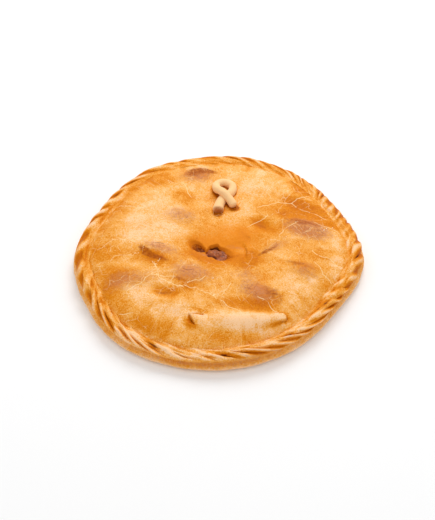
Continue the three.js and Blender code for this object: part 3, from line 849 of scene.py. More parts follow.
class CrustPlaces:
    """What every vertex of the crust needs to know to find its place."""

    def __init__(self, shell, stations):
        ring = shell.verts.layers.float["ring"]
        column = shell.verts.layers.float["column"]
        self.spot = np.array([corner.co for corner in shell.verts])
        number = np.array([corner[ring] for corner in shell.verts])
        zones = np.array([station.zone for station in stations])
        nearest = np.clip(np.round(number).astype(int), 0, len(stations) - 1)
        self.zone = zones[nearest]
        self.place = np.interp(number, range(len(stations)), [station.place for station in stations])
        self.pleat = column_pleat(np.array([corner[column] for corner in shell.verts]))
        self.number = np.floor(self.pleat + ROUNDING)
        self.across = np.clip(self.pleat - self.number, 0, 1)
        self.rope = self.zone == "rope"
        self.lid = self.zone == "lid"
        self.wall = self.zone == "lip"
        below = np.where(self.rope, self.place, ROPE_FROM)
        self.angle = np.where(self.lid, ROPE_TO, below)
        strayed = crease_wander(self.angle, self.pleat)
        self.bearing = pleat_bearing(self.pleat - wound_pleats(self.angle, self.pleat) + strayed)
        self.from_crease = np.minimum(self.across, 1 - self.across) * PLEAT_WIDTH
        self.crease_number = np.where(self.across > 0.5, self.number + 1, self.number) % PLEATS
        self.crease_share = CREASE_LEAST + (1 - CREASE_LEAST) * draw(self.crease_number, "crease share")


def set_plan(shell, places):
    """Moves the rings of base, wall and lid to the pie's outline."""
    radius = np.hypot(places.spot[:, 0], places.spot[:, 1]) * outline_share(places.bearing)
    places.spot[:, 0] = radius * np.cos(places.bearing)
    places.spot[:, 1] = radius * np.sin(places.bearing)
    for corner, spot in zip(shell.verts, places.spot):
        corner.co = spot


def refine(shell, centre, reach, cuts):
    """Splits the edges near a place, where the lid has small forms."""
    near = set()
    for corner in shell.verts:
        away = math.hypot(corner.co.x - centre[0], corner.co.y - centre[1])
        if away < reach and corner.co.z > LID_EDGE_HEIGHT:
            near.add(corner)
    edges = [edge for edge in shell.edges if edge.verts[0] in near and edge.verts[1] in near]
    bmesh.ops.subdivide_edges(shell, edges=edges, cuts=cuts, use_grid_fill=True)


def lid_surface(x, y):
    """Height of the finished lid, without its finest unevenness."""
    height = lid_height(x, y) + tongue_rise(x, y)
    reach = plain_reach(x, y)
    inner = reach < LID_INNER_REACH
    height[inner] -= vent_drop(x[inner], y[inner])
    return height - snip_drop(x, y)


def tuck_drop(places, sizes):
    """Tucks that run from the rope's creases a little way into the lid."""
    reach = np.where(places.lid, places.place, LID_START)
    shortest, longest = TUCK_RUN
    run = shortest + (longest - shortest) * draw(places.crease_number, "tuck run")
    lean = draw(places.crease_number, "tuck lean") - TUCK_LEAN
    slant = (LID_START - reach) * lean * TUCK_SLANT
    away = np.abs(places.pleat - np.round(places.pleat - slant) - slant) * TUCK_PITCH
    share = draw(places.crease_number, "tuck depth") ** 2
    hold = smooth(reach, LID_START - run, LID_START)
    return sizes.tuck_depth / MM * share * np.exp(-((away / TUCK_WIDTH) ** 2)) * hold


def edge_folds(x, y):
    """Folds that run from the rope into the lid, from -1 in a hollow to 1 on a ridge."""
    bearing = np.arctan2(y, x)
    reach = plain_reach(x, y)
    round_trip = LID_REACH / EDGE_FOLD_PITCH
    spots = np.stack([round_trip * np.cos(bearing), round_trip * np.sin(bearing), reach / EDGE_FOLD_RUN], 1)
    return unevenness(spots, 1.0, 3) * smooth(reach, EDGE_FOLDS_FROM, LID_START)


def pleat_hold(places):
    """How much of a pleat shows at each place round the rope's section."""
    late = PLEAT_SPREAD * (draw(places.number, "late start") - 0.5)
    late = late - round_rim(places.bearing, PLEAT_LOW)
    early = PLEAT_SHORTENING * draw(places.number, "early end") - np.minimum(late, PLEAT_SPREAD / 2)
    early = early + round_rim(places.bearing, PLEAT_SHORT)
    rise = smooth(places.angle, PLEAT_START[0] + late, PLEAT_START[1] + late)
    return rise * (1 - PLEAT_FADE * smooth(places.angle, PLEAT_END[0] - early, PLEAT_END[1] - early))


def inner_flaps(places):
    """Ragged flaps of dough along the rope's inner side, from -1 in a slit to 1 on a flap."""
    side = smooth(places.angle, *FLAP_RISE) * (1 - smooth(places.angle, *FLAP_FALL))
    turn = FULL_TURN * places.pleat / PLEATS
    round_trip = PLEATS * PLEAT_WIDTH / FLAP_WIDTH / FULL_TURN
    spots = np.stack([round_trip * np.cos(turn), round_trip * np.sin(turn), places.angle / FLAP_TURN], 1)
    back, ahead = FLAP_SHARE
    share = np.where(places.rope, back + (ahead - back) * front_share(places.bearing), 0)
    return side * unevenness(spots, 1.0, 3) * share


def rope_relief(places, sizes):
    """How far the rope stands out of its round section: crests, hollow flanks, creases and pockets."""
    crest = pleat_crest(places.across, places.bearing)
    hold = pleat_hold(places)
    for middle, spread, flat in PLEAT_FLATS:
        hold = hold * (1 - flat * near_bearing(places.bearing, middle, spread))
    share = PLEAT_BACK_SHARE + (1 - PLEAT_BACK_SHARE) * front_share(places.bearing)
    fullness = (sizes.crest_height / MM + PLEAT_VARIATION * (draw(places.number, "fullness") - 0.5)) * crest
    least, more = PLEAT_DEPTHS
    depth = sizes.pleat_depth / MM * (least + more * draw(places.crease_number, "depth")) * (1 - crest)
    line = np.exp(-((places.from_crease / CREASE_LINE) ** 2)) * places.crease_share
    height = POCKET_ANGLE + POCKET_SPREAD * draw(places.crease_number, "pocket angle")
    inward = (places.angle - height) / POCKET_HEIGHT
    aside = (places.across - POCKET_ACROSS) / POCKET_WIDTH
    pocket = np.exp(-(inward**2) - aside**2) * draw(places.crease_number, "pocket depth") ** 1.5
    cut = sizes.crease_depth / MM * line + sizes.pocket_depth / MM * pocket
    flaps = sizes.flap_height / MM * np.clip(FLAP_SHARPNESS * inner_flaps(places), -1, 1)
    groove = sizes.groove_depth / MM * (1 - smooth(places.angle, ROPE_FROM, GROOVE_TOP))
    return hold * (share * (fullness - depth) - cut) + flaps - groove


def set_lid(places, sizes, lumps):
    """Lifts the lid to its finished surface, with edge folds and tucks."""
    lid = places.lid
    x, y, _ = places.spot[lid].T
    folds = sizes.fold_height / MM * edge_folds(x, y)
    places.spot[lid, 2] = lid_surface(x, y) + lumps[lid] + folds - tuck_drop(places, sizes)[lid]


def set_wall(places, sizes, lumps):
    """Draws the wall in at the groove under the rope and makes it uneven above its foot."""
    wall = places.wall
    height = places.spot[wall, 2]
    _, top = section_point(Station("lip", LIP_TOP_ANGLE))
    groove = sizes.groove_depth / MM * smooth(height, GROOVE_BOTTOM, top)
    move = lumps[wall] * smooth(height, 0, WALL_FOOT) - groove
    outward = np.stack([np.cos(places.bearing[wall]), np.sin(places.bearing[wall])], 1)
    places.spot[wall, :2] += outward * move[:, None]


def set_rope(places, sizes, lumps):
    """Lays the rope's pleated section on the rim and blends its inner side into the lid."""
    rope = places.rope
    angle, bearing = places.angle[rope], places.bearing[rope]
    centre, middle, size = rope_section(bearing)
    reach = size + rope_relief(places, sizes)[rope] + ROPE_LUMP_SHARE * lumps[rope]
    radius = (centre + reach * np.cos(np.radians(angle))) * outline_share(bearing)
    x, y = radius * np.cos(bearing), radius * np.sin(bearing)
    foot = ROPE_CENTRE_HEIGHT[0]
    waves = sum(rise * np.sin(lobes * bearing + phase) for lobes, rise, phase in ROPE_WAVES)
    height = foot + (middle + waves - foot) * smooth(angle, ROPE_FROM, ROPE_FULL_HEIGHT)
    height = height + reach * np.sin(np.radians(angle))
    inner = angle > 90
    ground = lid_height(x[inner], y[inner]) + lumps[rope][inner]
    blend = ROPE_BLEND * smooth(angle[inner], 90, 110) * (1 - smooth(angle[inner], 140, ROPE_TO))
    height[inner] = (height[inner] + ground + np.hypot(height[inner] - ground, blend)) / 2
    places.spot[rope] = np.stack([x, y, height], 1)


def set_heights(shell, places, sizes):
    """Gives every vertex its finished place, with relief, pleats and unevenness."""
    broad = unevenness(places.spot, LUMP_SIZE, 4)
    fine = unevenness(places.spot + FINE_LUMP_SHIFT, FINE_LUMP_SIZE, 3)
    lumps = sizes.lump_height / MM * (broad + FINE_LUMP_SHARE * fine)
    for set_zone in (set_lid, set_wall, set_rope):
        set_zone(places, sizes, lumps)
    for corner, place in zip(shell.verts, places.spot):
        corner.co = place


def rough_path(path, chance):
    """A path with every span broken into shorter ones that stray to either side."""
    spots = [np.array(spot, float) for spot in path]
    while max(np.linalg.norm(end - start) for start, end in zip(spots, spots[1:])) > CRACK_SPAN:
        broken = [spots[0]]
        for start, end in zip(spots, spots[1:]):
            across = np.array([start[1] - end[1], end[0] - start[0]])
            broken += [(start + end) / 2 + across * chance.normal(0, CRACK_STRAY), end]
        spots = broken
    return spots


def crack_branch(start, heading, spans, chance):
    """A hairline that wanders off from a place."""
    path = [np.array(start, float)]
    for _ in range(spans):
        heading += chance.uniform(-BRANCH_TURN, BRANCH_TURN)
        way = np.array([math.cos(heading), math.sin(heading)])
        path.append(path[-1] + chance.uniform(*BRANCH_SPAN) * way)
    return path


def all_cracks():
    """Every hairline with its strength: the main ones, their branches and short ones near the rope."""
    chance = np.random.default_rng(CRACK_SEED)
    found = []
    for path in CRACKS:
        spots = rough_path(path, chance)
        found.append((spots, 1.0))
        for number in chance.choice(len(spots) - 1, size=len(path) // 3, replace=False):
            ahead = spots[number + 1] - spots[number]
            heading = math.atan2(ahead[1], ahead[0]) + chance.choice((-1, 1)) * chance.uniform(0.6, 1.3)
            found.append((crack_branch(spots[number], heading, chance.integers(2, 4), chance), 0.5))
    found += [(rough_path(path, chance), -0.8) for path in DARK_CRACKS]
    for _ in range(EDGE_CRACKS):
        bearing = chance.uniform(0, FULL_TURN)
        reach = chance.uniform(*EDGE_CRACK_REACH) * outline_share(bearing)
        heading = bearing + math.pi + chance.uniform(-EDGE_CRACK_TURN, EDGE_CRACK_TURN)
        start = (reach * math.cos(bearing), reach * math.sin(bearing))
        branch = crack_branch(start, heading, chance.integers(2, 5), chance)
        found.append((branch, chance.uniform(0.15, 0.6)))
    return found


def crack_distances(x, y):
    """Signed and plain distance from each place to the nearest hairline, and that one's strength."""
    near = np.full(x.shape, CRACK_FAR)
    side = np.full(x.shape, CRACK_FAR)
    strength = np.zeros(x.shape)
    for path, share in all_cracks():
        (left, front), (right, back) = np.min(path, 0) - CRACK_FAR, np.max(path, 0) + CRACK_FAR
        within = np.flatnonzero((x > left) & (x < right) & (y > front) & (y < back))
        away, hand, _ = near_path(path, x[within], y[within])
        closer = away < near[within]
        found = within[closer]
        near[found] = away[closer]
        side[found] = (away * hand)[closer]
        strength[found] = share
    return side, near, strength


def front_fall(x, y):
    """How steeply the lid's swellings and dents fall towards the front."""
    ahead, behind = (forms_at(LID_RELIEF.values(), x, y + way) for way in (-1, 1))
    return (behind - ahead) / 2


def add_shades(masks, shades, value, hold=1):
    """Adds shades to the masks by a value at each place, as far as they hold there."""
    for mask, amount, start, full in shades:
        masks[mask] += hold * amount * smooth(value, start, full)


def pleat_masks(places, masks):
    """Painted shade in hollows and creases and painted highlights on crests, of the pleats and the rope's
    ragged inner flaps.
    """
    crest = pleat_crest(places.across, places.bearing)
    hold = np.where(places.rope, pleat_hold(places), 0)
    softer = 1 - round_rim(places.bearing, SOFT_CREASES)
    # Painted shade as dark lines along the creases
    middle = CREASE_SHADE_ANGLE + CREASE_SHADE_SPREAD * draw(places.crease_number, "shaded angle")
    shown = np.exp(-(((places.angle - middle) / CREASE_SHADE_RUN) ** 2)) * places.crease_share
    line = np.exp(-((places.from_crease / CREASE_SHADE_WIDTH) ** 2)) * shown
    masks["crease"] = CREASE_SHADE * hold * line * softer
    # Painted shade in the hollows and painted highlights, pale and pinkish, on the crests
    hollow_shade_weight = HOLLOW_LEAST + SHADE_SPREAD * draw(places.number, "gold hollow")
    crest_highlight_weight = CREST_LEAST + SHADE_SPREAD * draw(places.number, "pale crest")
    add_shades(masks, HOLLOW_SHADE, crest, hold * hollow_shade_weight * softer)
    add_shades(masks, DEEP_HOLLOW_SHADE, crest, hold * near_bearing(places.bearing, *DEEP_HOLLOWS))
    add_shades(masks, CREST_HIGHLIGHT, crest, hold * crest_highlight_weight)
    add_shades(masks, CREST_PINK_SHEEN, crest, hold)
    # Painted highlights on the flaps and painted shade in the slits between them
    add_shades(masks, FLAP_SHADES, inner_flaps(places))


def rim_masks(places, masks):
    """Tones of the wall with its painted shade and bounce light, of the rope's outer side and of whole
    stretches of the rope.
    """
    height = places.spot[:, 2]
    # Painted shade on the wall under the rope and painted bounce light towards its foot
    add_shades(masks, WALL_SHADE_AND_BOUNCE_LIGHT, height, places.wall)
    for mask, amount in WALL_TONES:
        masks[mask] += amount * places.wall
    front = front_share(places.bearing)
    outer = (1 - smooth(places.angle, 0, 40)) * (1 - 0.8 * front)
    masks["gold_and_shade"] += np.where(places.rope, 0.3 * (outer + 1 - smooth(front, 0.1, 0.5)), 0)
    for tint in ROPE_TINTS:
        band = smooth(places.angle, tint.low - TINT_EDGE, tint.low + TINT_EDGE)
        band = band * (1 - smooth(places.angle, tint.high - TINT_EDGE, tint.high + TINT_EDGE))
        under = np.where(places.wall, tint.wall * smooth(height, 5, 9), 0)
        stretch = near_bearing(places.bearing, tint.bearing, tint.spread)
        masks[tint.mask] += tint.amount * stretch * np.where(places.rope, band, under)


def lid_masks(places, masks):
    """Painted shade and light on the lid's slopes and edge folds, and a painted shadow round the loop's
    foot.
    """
    x, y, _ = places.spot.T
    folds = np.zeros(x.shape)
    folds[places.lid] = edge_folds(x[places.lid], y[places.lid])
    # Painted shade in the folds' hollows and painted highlights on their ridges
    add_shades(masks, FOLD_SHADES, folds)
    fall = np.where(places.lid, front_fall(x, y), 0)
    # Painted shade on slopes that face the front, painted light on slopes that face the back
    add_shades(masks, SLOPE_SHADE, fall, smooth(y, *SLOPE_SHADE_FROM))
    add_shades(masks, HILL_HIGHLIGHT, fall)
    away, _, _ = near_path([spot[:2] for spot in LOOP_PATH], x, y)
    # Painted shadow on the lid round the loop's foot
    add_shades(masks, LOOP_CAST_SHADOW, away, places.lid)


def vent_masks(places, masks):
    """Painted shade in the vent's slopes and depths and in the front snip, and a dark painted line along
    the flap's crease.
    """
    x, y, _ = places.spot.T
    inner = places.lid & (places.place < LID_INNER_REACH)
    mouth = np.where(inner, hole_drop(VENT_MOUTH, VENT_MOUTH_SLOPE, x, y), 0)
    pit = np.where(inner, hole_drop(VENT_PIT, VENT_PIT_SLOPE, x, y), 0)
    # Painted shade that deepens into the vent's mouth and pit
    add_shades(masks, VENT_SHADE, np.maximum(mouth, pit))
    add_shades(masks, MOUTH_SHADES, mouth)
    add_shades(masks, PIT_SHADES, pit)
    away, _, along = near_path(VENT_FLAP, x, y)
    # A dark painted line of shade along the flap's crease
    start, end = VENT_FLAP_SHADED
    shown = smooth(along, *start) * (1 - smooth(along, *end)) * places.lid
    masks["scorch_and_shade"] += VENT_FLAP_SHADE * np.exp(-((away / VENT_FLAP_LINE) ** 2)) * shown
    # Painted shade in the snip's hollows
    add_shades(masks, SNIP_SHADES, snip_drop(x, y), places.lid)


def tongue_masks(places, masks):
    """Pale back of the tongue, painted shade at its foot and edge and a painted shadow at its tip, and the
    lid's smooth skin round it.
    """
    x, y, _ = places.spot.T
    out, side, along = tongue_place(x, y)
    back = (1 - smooth(out, 0.3, 1.15)) * smooth(along, 0.5, 1.4)
    foot = smooth(out, 0.8, 1.5) * (1 - smooth(out, 1.6, 3.2)) * smooth(along, 0.2, 1)
    edge = smooth(along, 1.9, 2.7) * np.exp(-(((out - 1.2) / 0.3) ** 2))
    edge = edge * np.where(side < 0, 1, smooth(along, 2.8, 3))
    tip = smooth(along, 2.6, 2.95) * np.exp(-(((out - 1.12) / 0.16) ** 2))
    masks["pale"] += np.where(places.lid, 0.7 * back, 0)
    # Painted shade at the tongue's front foot and along its edge
    masks["gold_and_shade"] += np.where(places.lid, 0.2 * foot * (side < 0) + edge, 0)
    # A dark painted shadow at the tongue's tip
    masks["scorch_and_shade"] += np.where(places.lid, 0.85 * tip, 0)
    masks["lid_skin"] = np.where(places.lid, (1 - masks["oil"]) * smooth(out, 1.4, 3.2), 0)


def crust_masks(places):
    """Masks that the crust's finish reads, one value for each vertex."""
    x, y, _ = places.spot.T
    masks = {}
    for name, patches in LID_PATCHES.items():
        patched = forms_at([Form(*patch) for patch in patches], x, y)
        masks[name] = np.where(places.lid, np.clip(patched, 0, 1), 0)
    for add_masks in (pleat_masks, rim_masks, lid_masks, vent_masks, tongue_masks):
        add_masks(places, masks)
    side, near, strength = crack_distances(x, y)
    masks["crack_side"] = side
    masks["crack_near"] = np.where(places.lid, near, CRACK_FAR)
    masks["crack_strength"] = strength
    return masks


class Shade:
    """Adds nodes to one tree, left to right, with sockets or plain values as their inputs."""

    def __init__(self, tree):
        self.tree = tree
        self.count = 0

    def add(self, kind, inputs=(), **settings):
        made = self.tree.nodes.new(kind)
        made.location = (220 * (self.count // 4), -240 * (self.count % 4))
        self.count += 1
        for name, value in settings.items():
            setattr(made, name, value)
        for socket, value in dict(inputs).items():
            self.feed(made.inputs[socket], value)
        return made

    def feed(self, socket, value):
        if isinstance(value, bpy.types.NodeSocket):
            self.tree.links.new(value, socket)
        elif isinstance(value, tuple) and socket.type == "RGBA":
            socket.default_value = (*value, 1)
        else:
            socket.default_value = value

    def math(self, operation, *values):
        return self.add("ShaderNodeMath", enumerate(values), operation=operation).outputs[0]

    def times(self, first, second):
        return self.math("MULTIPLY", first, second)

    def vector(self, operation, *values, output=0):
        return self.add("ShaderNodeVectorMath", enumerate(values), operation=operation).outputs[output]

    def ragged(self, place, size, detail, roughness, amount):
        """Noise round zero that frays an edge by up to half the amount."""
        return self.times(self.math("SUBTRACT", self.noise(place, size, detail, roughness), 0.5), amount)

    def step(self, value, low, high, start=0.0, end=1.0):
        """Smooth step of a value, from start at low to end at high."""
        inputs = {"Value": value, "From Min": low, "From Max": high, "To Min": start, "To Max": end}
        return self.add("ShaderNodeMapRange", inputs, interpolation_type="SMOOTHSTEP").outputs[0]

    def mix(self, share, first, second):
        made = self.add("ShaderNodeMix", data_type="RGBA")
        self.feed(made.inputs[0], share)
        self.feed(made.inputs[6], first)
        self.feed(made.inputs[7], second)
        return made.outputs[2]

    def noise(self, vector, size, detail=2.0, roughness=0.5):
        inputs = {"Vector": vector, "Scale": 1 / (size * MM), "Detail": detail, "Roughness": roughness}
        return self.add("ShaderNodeTexNoise", inputs).outputs[0]

    def mask(self, name):
        return self.add("ShaderNodeAttribute", attribute_name=name).outputs["Fac"]

    def place(self):
        return self.add("ShaderNodeTexCoord").outputs["Object"]

    def grain(self, place):
        """Outputs of the baked grain at each place."""
        return self.add("ShaderNodeGroup", {"Place": place}, node_tree=baked_grain()).outputs


def baked_grain():
    """Group of what all baked dough shares: mottling, flecks, freckles and the height of its fine grain."""
    name = "Baked grain"
    if name in bpy.data.node_groups:
        return bpy.data.node_groups[name]
    tree = bpy.data.node_groups.new(name, "ShaderNodeTree")
    tree.interface.new_socket("Place", in_out="INPUT", socket_type="NodeSocketVector")
    outputs = ("Mottle", "Fleck", "Speck", "Freckle", "Height")
    for output in outputs:
        tree.interface.new_socket(output, in_out="OUTPUT", socket_type="NodeSocketFloat")
    shade = Shade(tree)
    place = shade.add("NodeGroupInput").outputs["Place"]
    speck = shade.noise(place, 1.1, 3.0, 0.6)
    fleck = shade.noise(place, 2.2, 4.0, 0.85)
    patch = shade.noise(place, 9.0, 4.0, 0.6)
    freckle = shade.times(shade.step(speck, 0.54, 0.7), shade.step(patch, 0.38, 0.62))
    height = shade.math("ADD", shade.times(speck, 0.35), shade.times(fleck, 0.65))
    result = shade.add("NodeGroupOutput")
    for output, value in zip(outputs, (patch, fleck, speck, freckle, height)):
        shade.feed(result.inputs[output], value)
    return tree


def new_material(name):
    """Empty material and what adds nodes to it."""
    made = bpy.data.materials.new(name)
    made.use_nodes = True
    made.node_tree.nodes.clear()
    return made, Shade(made.node_tree)


def finish_material(shade, base, roughness, normal, **constants):
    """Principled surface of a material, with its plain numbers set on its own sockets."""
    inputs = {"Base Color": base, "Roughness": roughness, "Normal": normal}
    surface = shade.add("ShaderNodeBsdfPrincipled", inputs)
    for name, value in constants.items():
        surface.inputs[name.replace("_", " ")].default_value = value
    result = shade.add("ShaderNodeOutputMaterial")
    shade.tree.links.new(surface.outputs[0], result.inputs["Surface"])


def bumped(shade, height, strength, distance):
    """Normal of a surface with a fine relief."""
    inputs = {"Height": height, "Strength": strength, "Distance": distance * MM}
    return shade.add("ShaderNodeBump", inputs).outputs[0]


def baked_tone(shade, grain, cloud, colours):
    """Colour of unbrowned dough, amber through deep glaze to pale, by grain and masks that also carry
    painted shade and light.
    """
    tone = 0.45
    sources = ((cloud, 1.1), (grain["Mottle"], 0.9), (grain["Fleck"], 1.1), (grain["Speck"], 1.5))
    for source, amount in sources:
        tone = shade.math("MULTIPLY_ADD", shade.math("SUBTRACT", source, 0.5), amount, tone)
    # The pale and deep-glaze masks also carry painted highlights and painted shade into the tone
    for mask, amount in (("pale", 0.42), ("gold_and_shade", -0.72), ("oil", -0.2)):
        tone = shade.math("MULTIPLY_ADD", shade.mask(mask), amount, tone)
    base = shade.mix(shade.step(tone, 0.0, 0.52), colours.gold_and_shade[:], colours.baked[:])
    base = shade.mix(shade.step(tone, 0.48, 1.0), base, colours.pale[:])
    return shade.mix(shade.step(tone, -0.6, 0.05, 1.0, 0.0), base, colours.amber[:])


def torn_mask(shade, fray, name, low, high):
    """Mask with a frayed edge."""
    mask = shade.mask(name)
    edge = shade.times(fray, shade.step(mask, 0.02, 0.25))
    return shade.step(shade.math("ADD", mask, edge), low, high)


def hairlines(shade, place):
    """Pale and dark hairlines of the glaze, which waver and break off here and there."""
    strength = shade.mask("crack_strength")
    width = shade.math("ADD", shade.math("ABSOLUTE", strength), 0.35)
    wander = shade.ragged(place, 3.5, 2.0, 0.5, 0.7)
    side = shade.math("ABSOLUTE", shade.math("ADD", shade.mask("crack_side"), wander))
    line = shade.step(shade.math("DIVIDE", side, width), 0.06, 0.36, 1.0, 0.0)
    close = shade.step(shade.mask("crack_near"), 1.0, 1.6, 1.0, 0.0)
    broken = shade.step(shade.noise(place, 11.0, 3.0, 0.6), 0.32, 0.5)
    crack = shade.times(shade.times(line, close), broken)
    pale = shade.times(crack, shade.step(strength, 0.0, 1.0))
    return pale, shade.times(crack, shade.step(strength, -1.0, 0.0, 1.0, 0.0))


def bent_place(shade, place):
    """Place that strays a few millimetres, for lines that waver."""
    inputs = {"Vector": place, "Scale": 1 / (WEB_STRAY_SIZE * MM), "Detail": 3.0}
    stray = shade.add("ShaderNodeTexNoise", inputs).outputs["Color"]
    return shade.vector("MULTIPLY_ADD", stray, (WEB_STRAY * MM,) * 3, place)


def cell_lines(shade, place, size, thin, thick):
    """Lines between cells of one size."""
    cells = {"Vector": place, "Scale": 1 / (size * MM)}
    edge = shade.add("ShaderNodeTexVoronoi", cells, feature="DISTANCE_TO_EDGE").outputs["Distance"]
    return shade.step(edge, thin, thick, 1.0, 0.0)


def stretch_marks(shade, place, cloud):
    """Faint marks that fan out from the middle of the lid towards the rope."""
    flat = shade.vector("MULTIPLY", place, (1, 1, 0))
    reach = shade.vector("LENGTH", flat, output="Value")
    along = shade.add("ShaderNodeCombineXYZ", {"Z": shade.times(reach, STRETCH_SHARE)}).outputs[0]
    fan = shade.vector("MULTIPLY_ADD", shade.vector("NORMALIZE", flat), (LID_REACH * MM,) * 3, along)
    marks = shade.step(shade.noise(fan, STRETCH_WIDTH, 2.0, 0.5), 0.56, 0.7)
    start, end = STRETCH_REACH
    marks = shade.times(marks, shade.step(reach, start * MM, end * MM, 0.0, STRETCH_STRENGTH))
    return shade.times(marks, shade.step(cloud, 0.42, 0.6))


def crust_material(colours):
    """Glazed baked dough: deep glaze to pale with painted shade and light, browned blisters, hairline
    cracks and a satin skin.
    """
    made, shade = new_material("baked crust")
    place = shade.place()
    grain = shade.grain(place)
    mottle = grain["Mottle"]
    cloud = shade.noise(place, 30.0, 3.0, 0.55)
    bent = bent_place(shade, place)
    skin = shade.mask("lid_skin")
    spotted = shade.step(grain["Fleck"], 0.34, 0.62, 0.3, 1.1)
    fray = shade.ragged(place, 4.0, 4.0, 0.65, 1.1)
    browned = torn_mask(shade, fray, "blush", 0.15, 1.05)
    scorch_and_shade_share = torn_mask(shade, fray, "scorch_and_shade", 0.25, 1.0)
    oiled = torn_mask(shade, fray, "oil", 0.1, 1.0)
    wrinkle = shade.times(cell_lines(shade, bent, WRINKLE_SIZE, 0.02, 0.1), browned)
    wrinkle = shade.times(wrinkle, shade.step(mottle, 0.4, 0.6, 0.1, 0.5))
    patchy = shade.step(shade.noise(place, 17.0, 3.0, 0.6), 0.48, 0.6, 0.0, 0.5)
    web = shade.times(cell_lines(shade, bent, WEB_SIZE, 0.004, 0.024), patchy)
    crack, dark_crack = hairlines(shade, place)
    # Over the tone: the darkest browning and the crease colour also lay painted shade and shadow
    layers = (
        (shade.times(oiled, 0.6), colours.oil),
        (shade.times(browned, spotted), colours.blush),
        (shade.times(scorch_and_shade_share, spotted), colours.scorch_and_shade),
        (shade.times(grain["Freckle"], 0.3), colours.scorch_and_shade),
        (shade.step(shade.mask("crease"), 0.2, 0.85), colours.crease),
        (wrinkle, colours.scorch_and_shade),
        (shade.times(web, skin), colours.crack),
        (shade.times(stretch_marks(shade, place, cloud), skin), colours.crack),
        (shade.times(crack, 0.8), colours.crack),
        (dark_crack, colours.crease),
    )
    base = baked_tone(shade, grain, cloud, colours)
    for share, layer in layers:
        base = shade.mix(share, base, layer[:])
    height = shade.math("SUBTRACT", grain["Height"], shade.times(crack, 0.3))
    normal = bumped(shade, height, 0.5, 0.6)
    finish_material(shade, base, shade.step(mottle, 0.3, 0.7, 0.42, 0.52), normal, Specular_IOR_Level=0.06)
    return made


def loop_material(colours):
    """Paler unglazed dough, browned towards its ends."""
    made, shade = new_material("loop dough")
    place = shade.place()
    grain = shade.grain(place)
    mottle = grain["Mottle"]
    base = shade.mix(shade.step(mottle, 0.4, 0.7, 0.0, 0.3), colours.loop[:], colours.pale[:])
    base = shade.mix(shade.times(grain["Freckle"], 0.35), base, colours.baked[:])
    browned = shade.math("ADD", shade.mask("browned"), shade.ragged(place, 2.5, 3.0, 0.5, 0.5))
    base = shade.mix(shade.step(browned, 0.25, 0.9), base, colours.loop_end[:])
    normal = bumped(shade, grain["Height"], 0.4, 0.5)
    finish_material(shade, base, shade.step(mottle, 0.3, 0.7, 0.5, 0.6), normal, Specular_IOR_Level=0.15)
    return made


def filling_material(colours):
    """Moist cooked filling, darker in patches, with painted shade in its gaps."""
    made, shade = new_material("cooked filling")
    place = shade.place()
    lump = shade.noise(place, 2.2, 4.0, 0.6)
    base = shade.mix(shade.step(lump, 0.3, 0.6), colours.filling_dark[:], colours.filling[:])
    base = shade.mix(shade.step(shade.noise(place, 5.0, 2.0), 0.5, 0.7, 0.0, 0.3), base, colours.oil[:])
    # Painted shade in the gaps along the vent's edge
    base = shade.mix(shade.step(shade.mask("hollow"), 0.6, 2.0), base, colours.crease[:])
    normal = bumped(shade, lump, 0.5, 0.8)
    finish_material(shade, base, shade.step(lump, 0.3, 0.7, 0.25, 0.5), normal, Specular_IOR_Level=0.25)
    return made


def salt_material(colours):
    """Cloudy grains of salt."""
    made, shade = new_material("salt")
    cloud = shade.noise(shade.place(), 0.5, 2.0)
    base = shade.mix(shade.step(cloud, 0.4, 0.6, 0.0, 0.4), colours.salt[:], colours.crack[:])
    normal = bumped(shade, cloud, 0.3, 0.1)
    finish_material(shade, base, shade.step(cloud, 0.4, 0.6, 0.3, 0.5), normal, IOR=1.5)
    return made


def finished_piece(name, shell, material, masks=None):
    """Piece of the pie made from a bmesh in millimetres, closed, smooth and at the origin."""
    bmesh.ops.recalc_face_normals(shell, faces=shell.faces)
    bmesh.ops.scale(shell, vec=(MM, MM, MM), verts=shell.verts)
    mesh = bpy.data.meshes.new(name)
    for face in shell.faces:
        face.smooth = True
    shell.to_mesh(mesh)
    shell.free()
    for mask, values in (masks or {}).items():
        layer = mesh.attributes.new(mask, "FLOAT", "POINT")
        layer.data.foreach_set("value", np.asarray(values, np.float32))
    mesh.materials.append(material)
    piece = bpy.data.objects.new(name, mesh)
    bpy.context.scene.collection.objects.link(piece)
    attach(piece, "root")
    return piece


class EMPANADA_OT_crust(bpy.types.Operator):
    """Model the crust: base, wall, rope and lid in one closed shell"""

    bl_idname = "empanada.crust"
    bl_label = "Crust"

    def execute(self, context):
        stations = crust_stations()
        shell = turned_crust(stations)
        set_plan(shell, CrustPlaces(shell, stations))
        refine(shell, SNIP_APEX, *SNIP_FINER)
        refine(shell, TONGUE_SPINE[-1], *TONGUE_TIP_FINER)
        places = CrustPlaces(shell, stations)
        x, y, _ = places.spot.T
        places.bearing = np.where(places.lid, np.arctan2(y, x), places.bearing)
        set_heights(shell, places, context.scene.empanada_sizes)
        dough = crust_material(context.scene.empanada_colours)
        piece = finished_piece("baked_crust", shell, dough, crust_masks(places))
        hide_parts("crust")
        return {"FINISHED"}


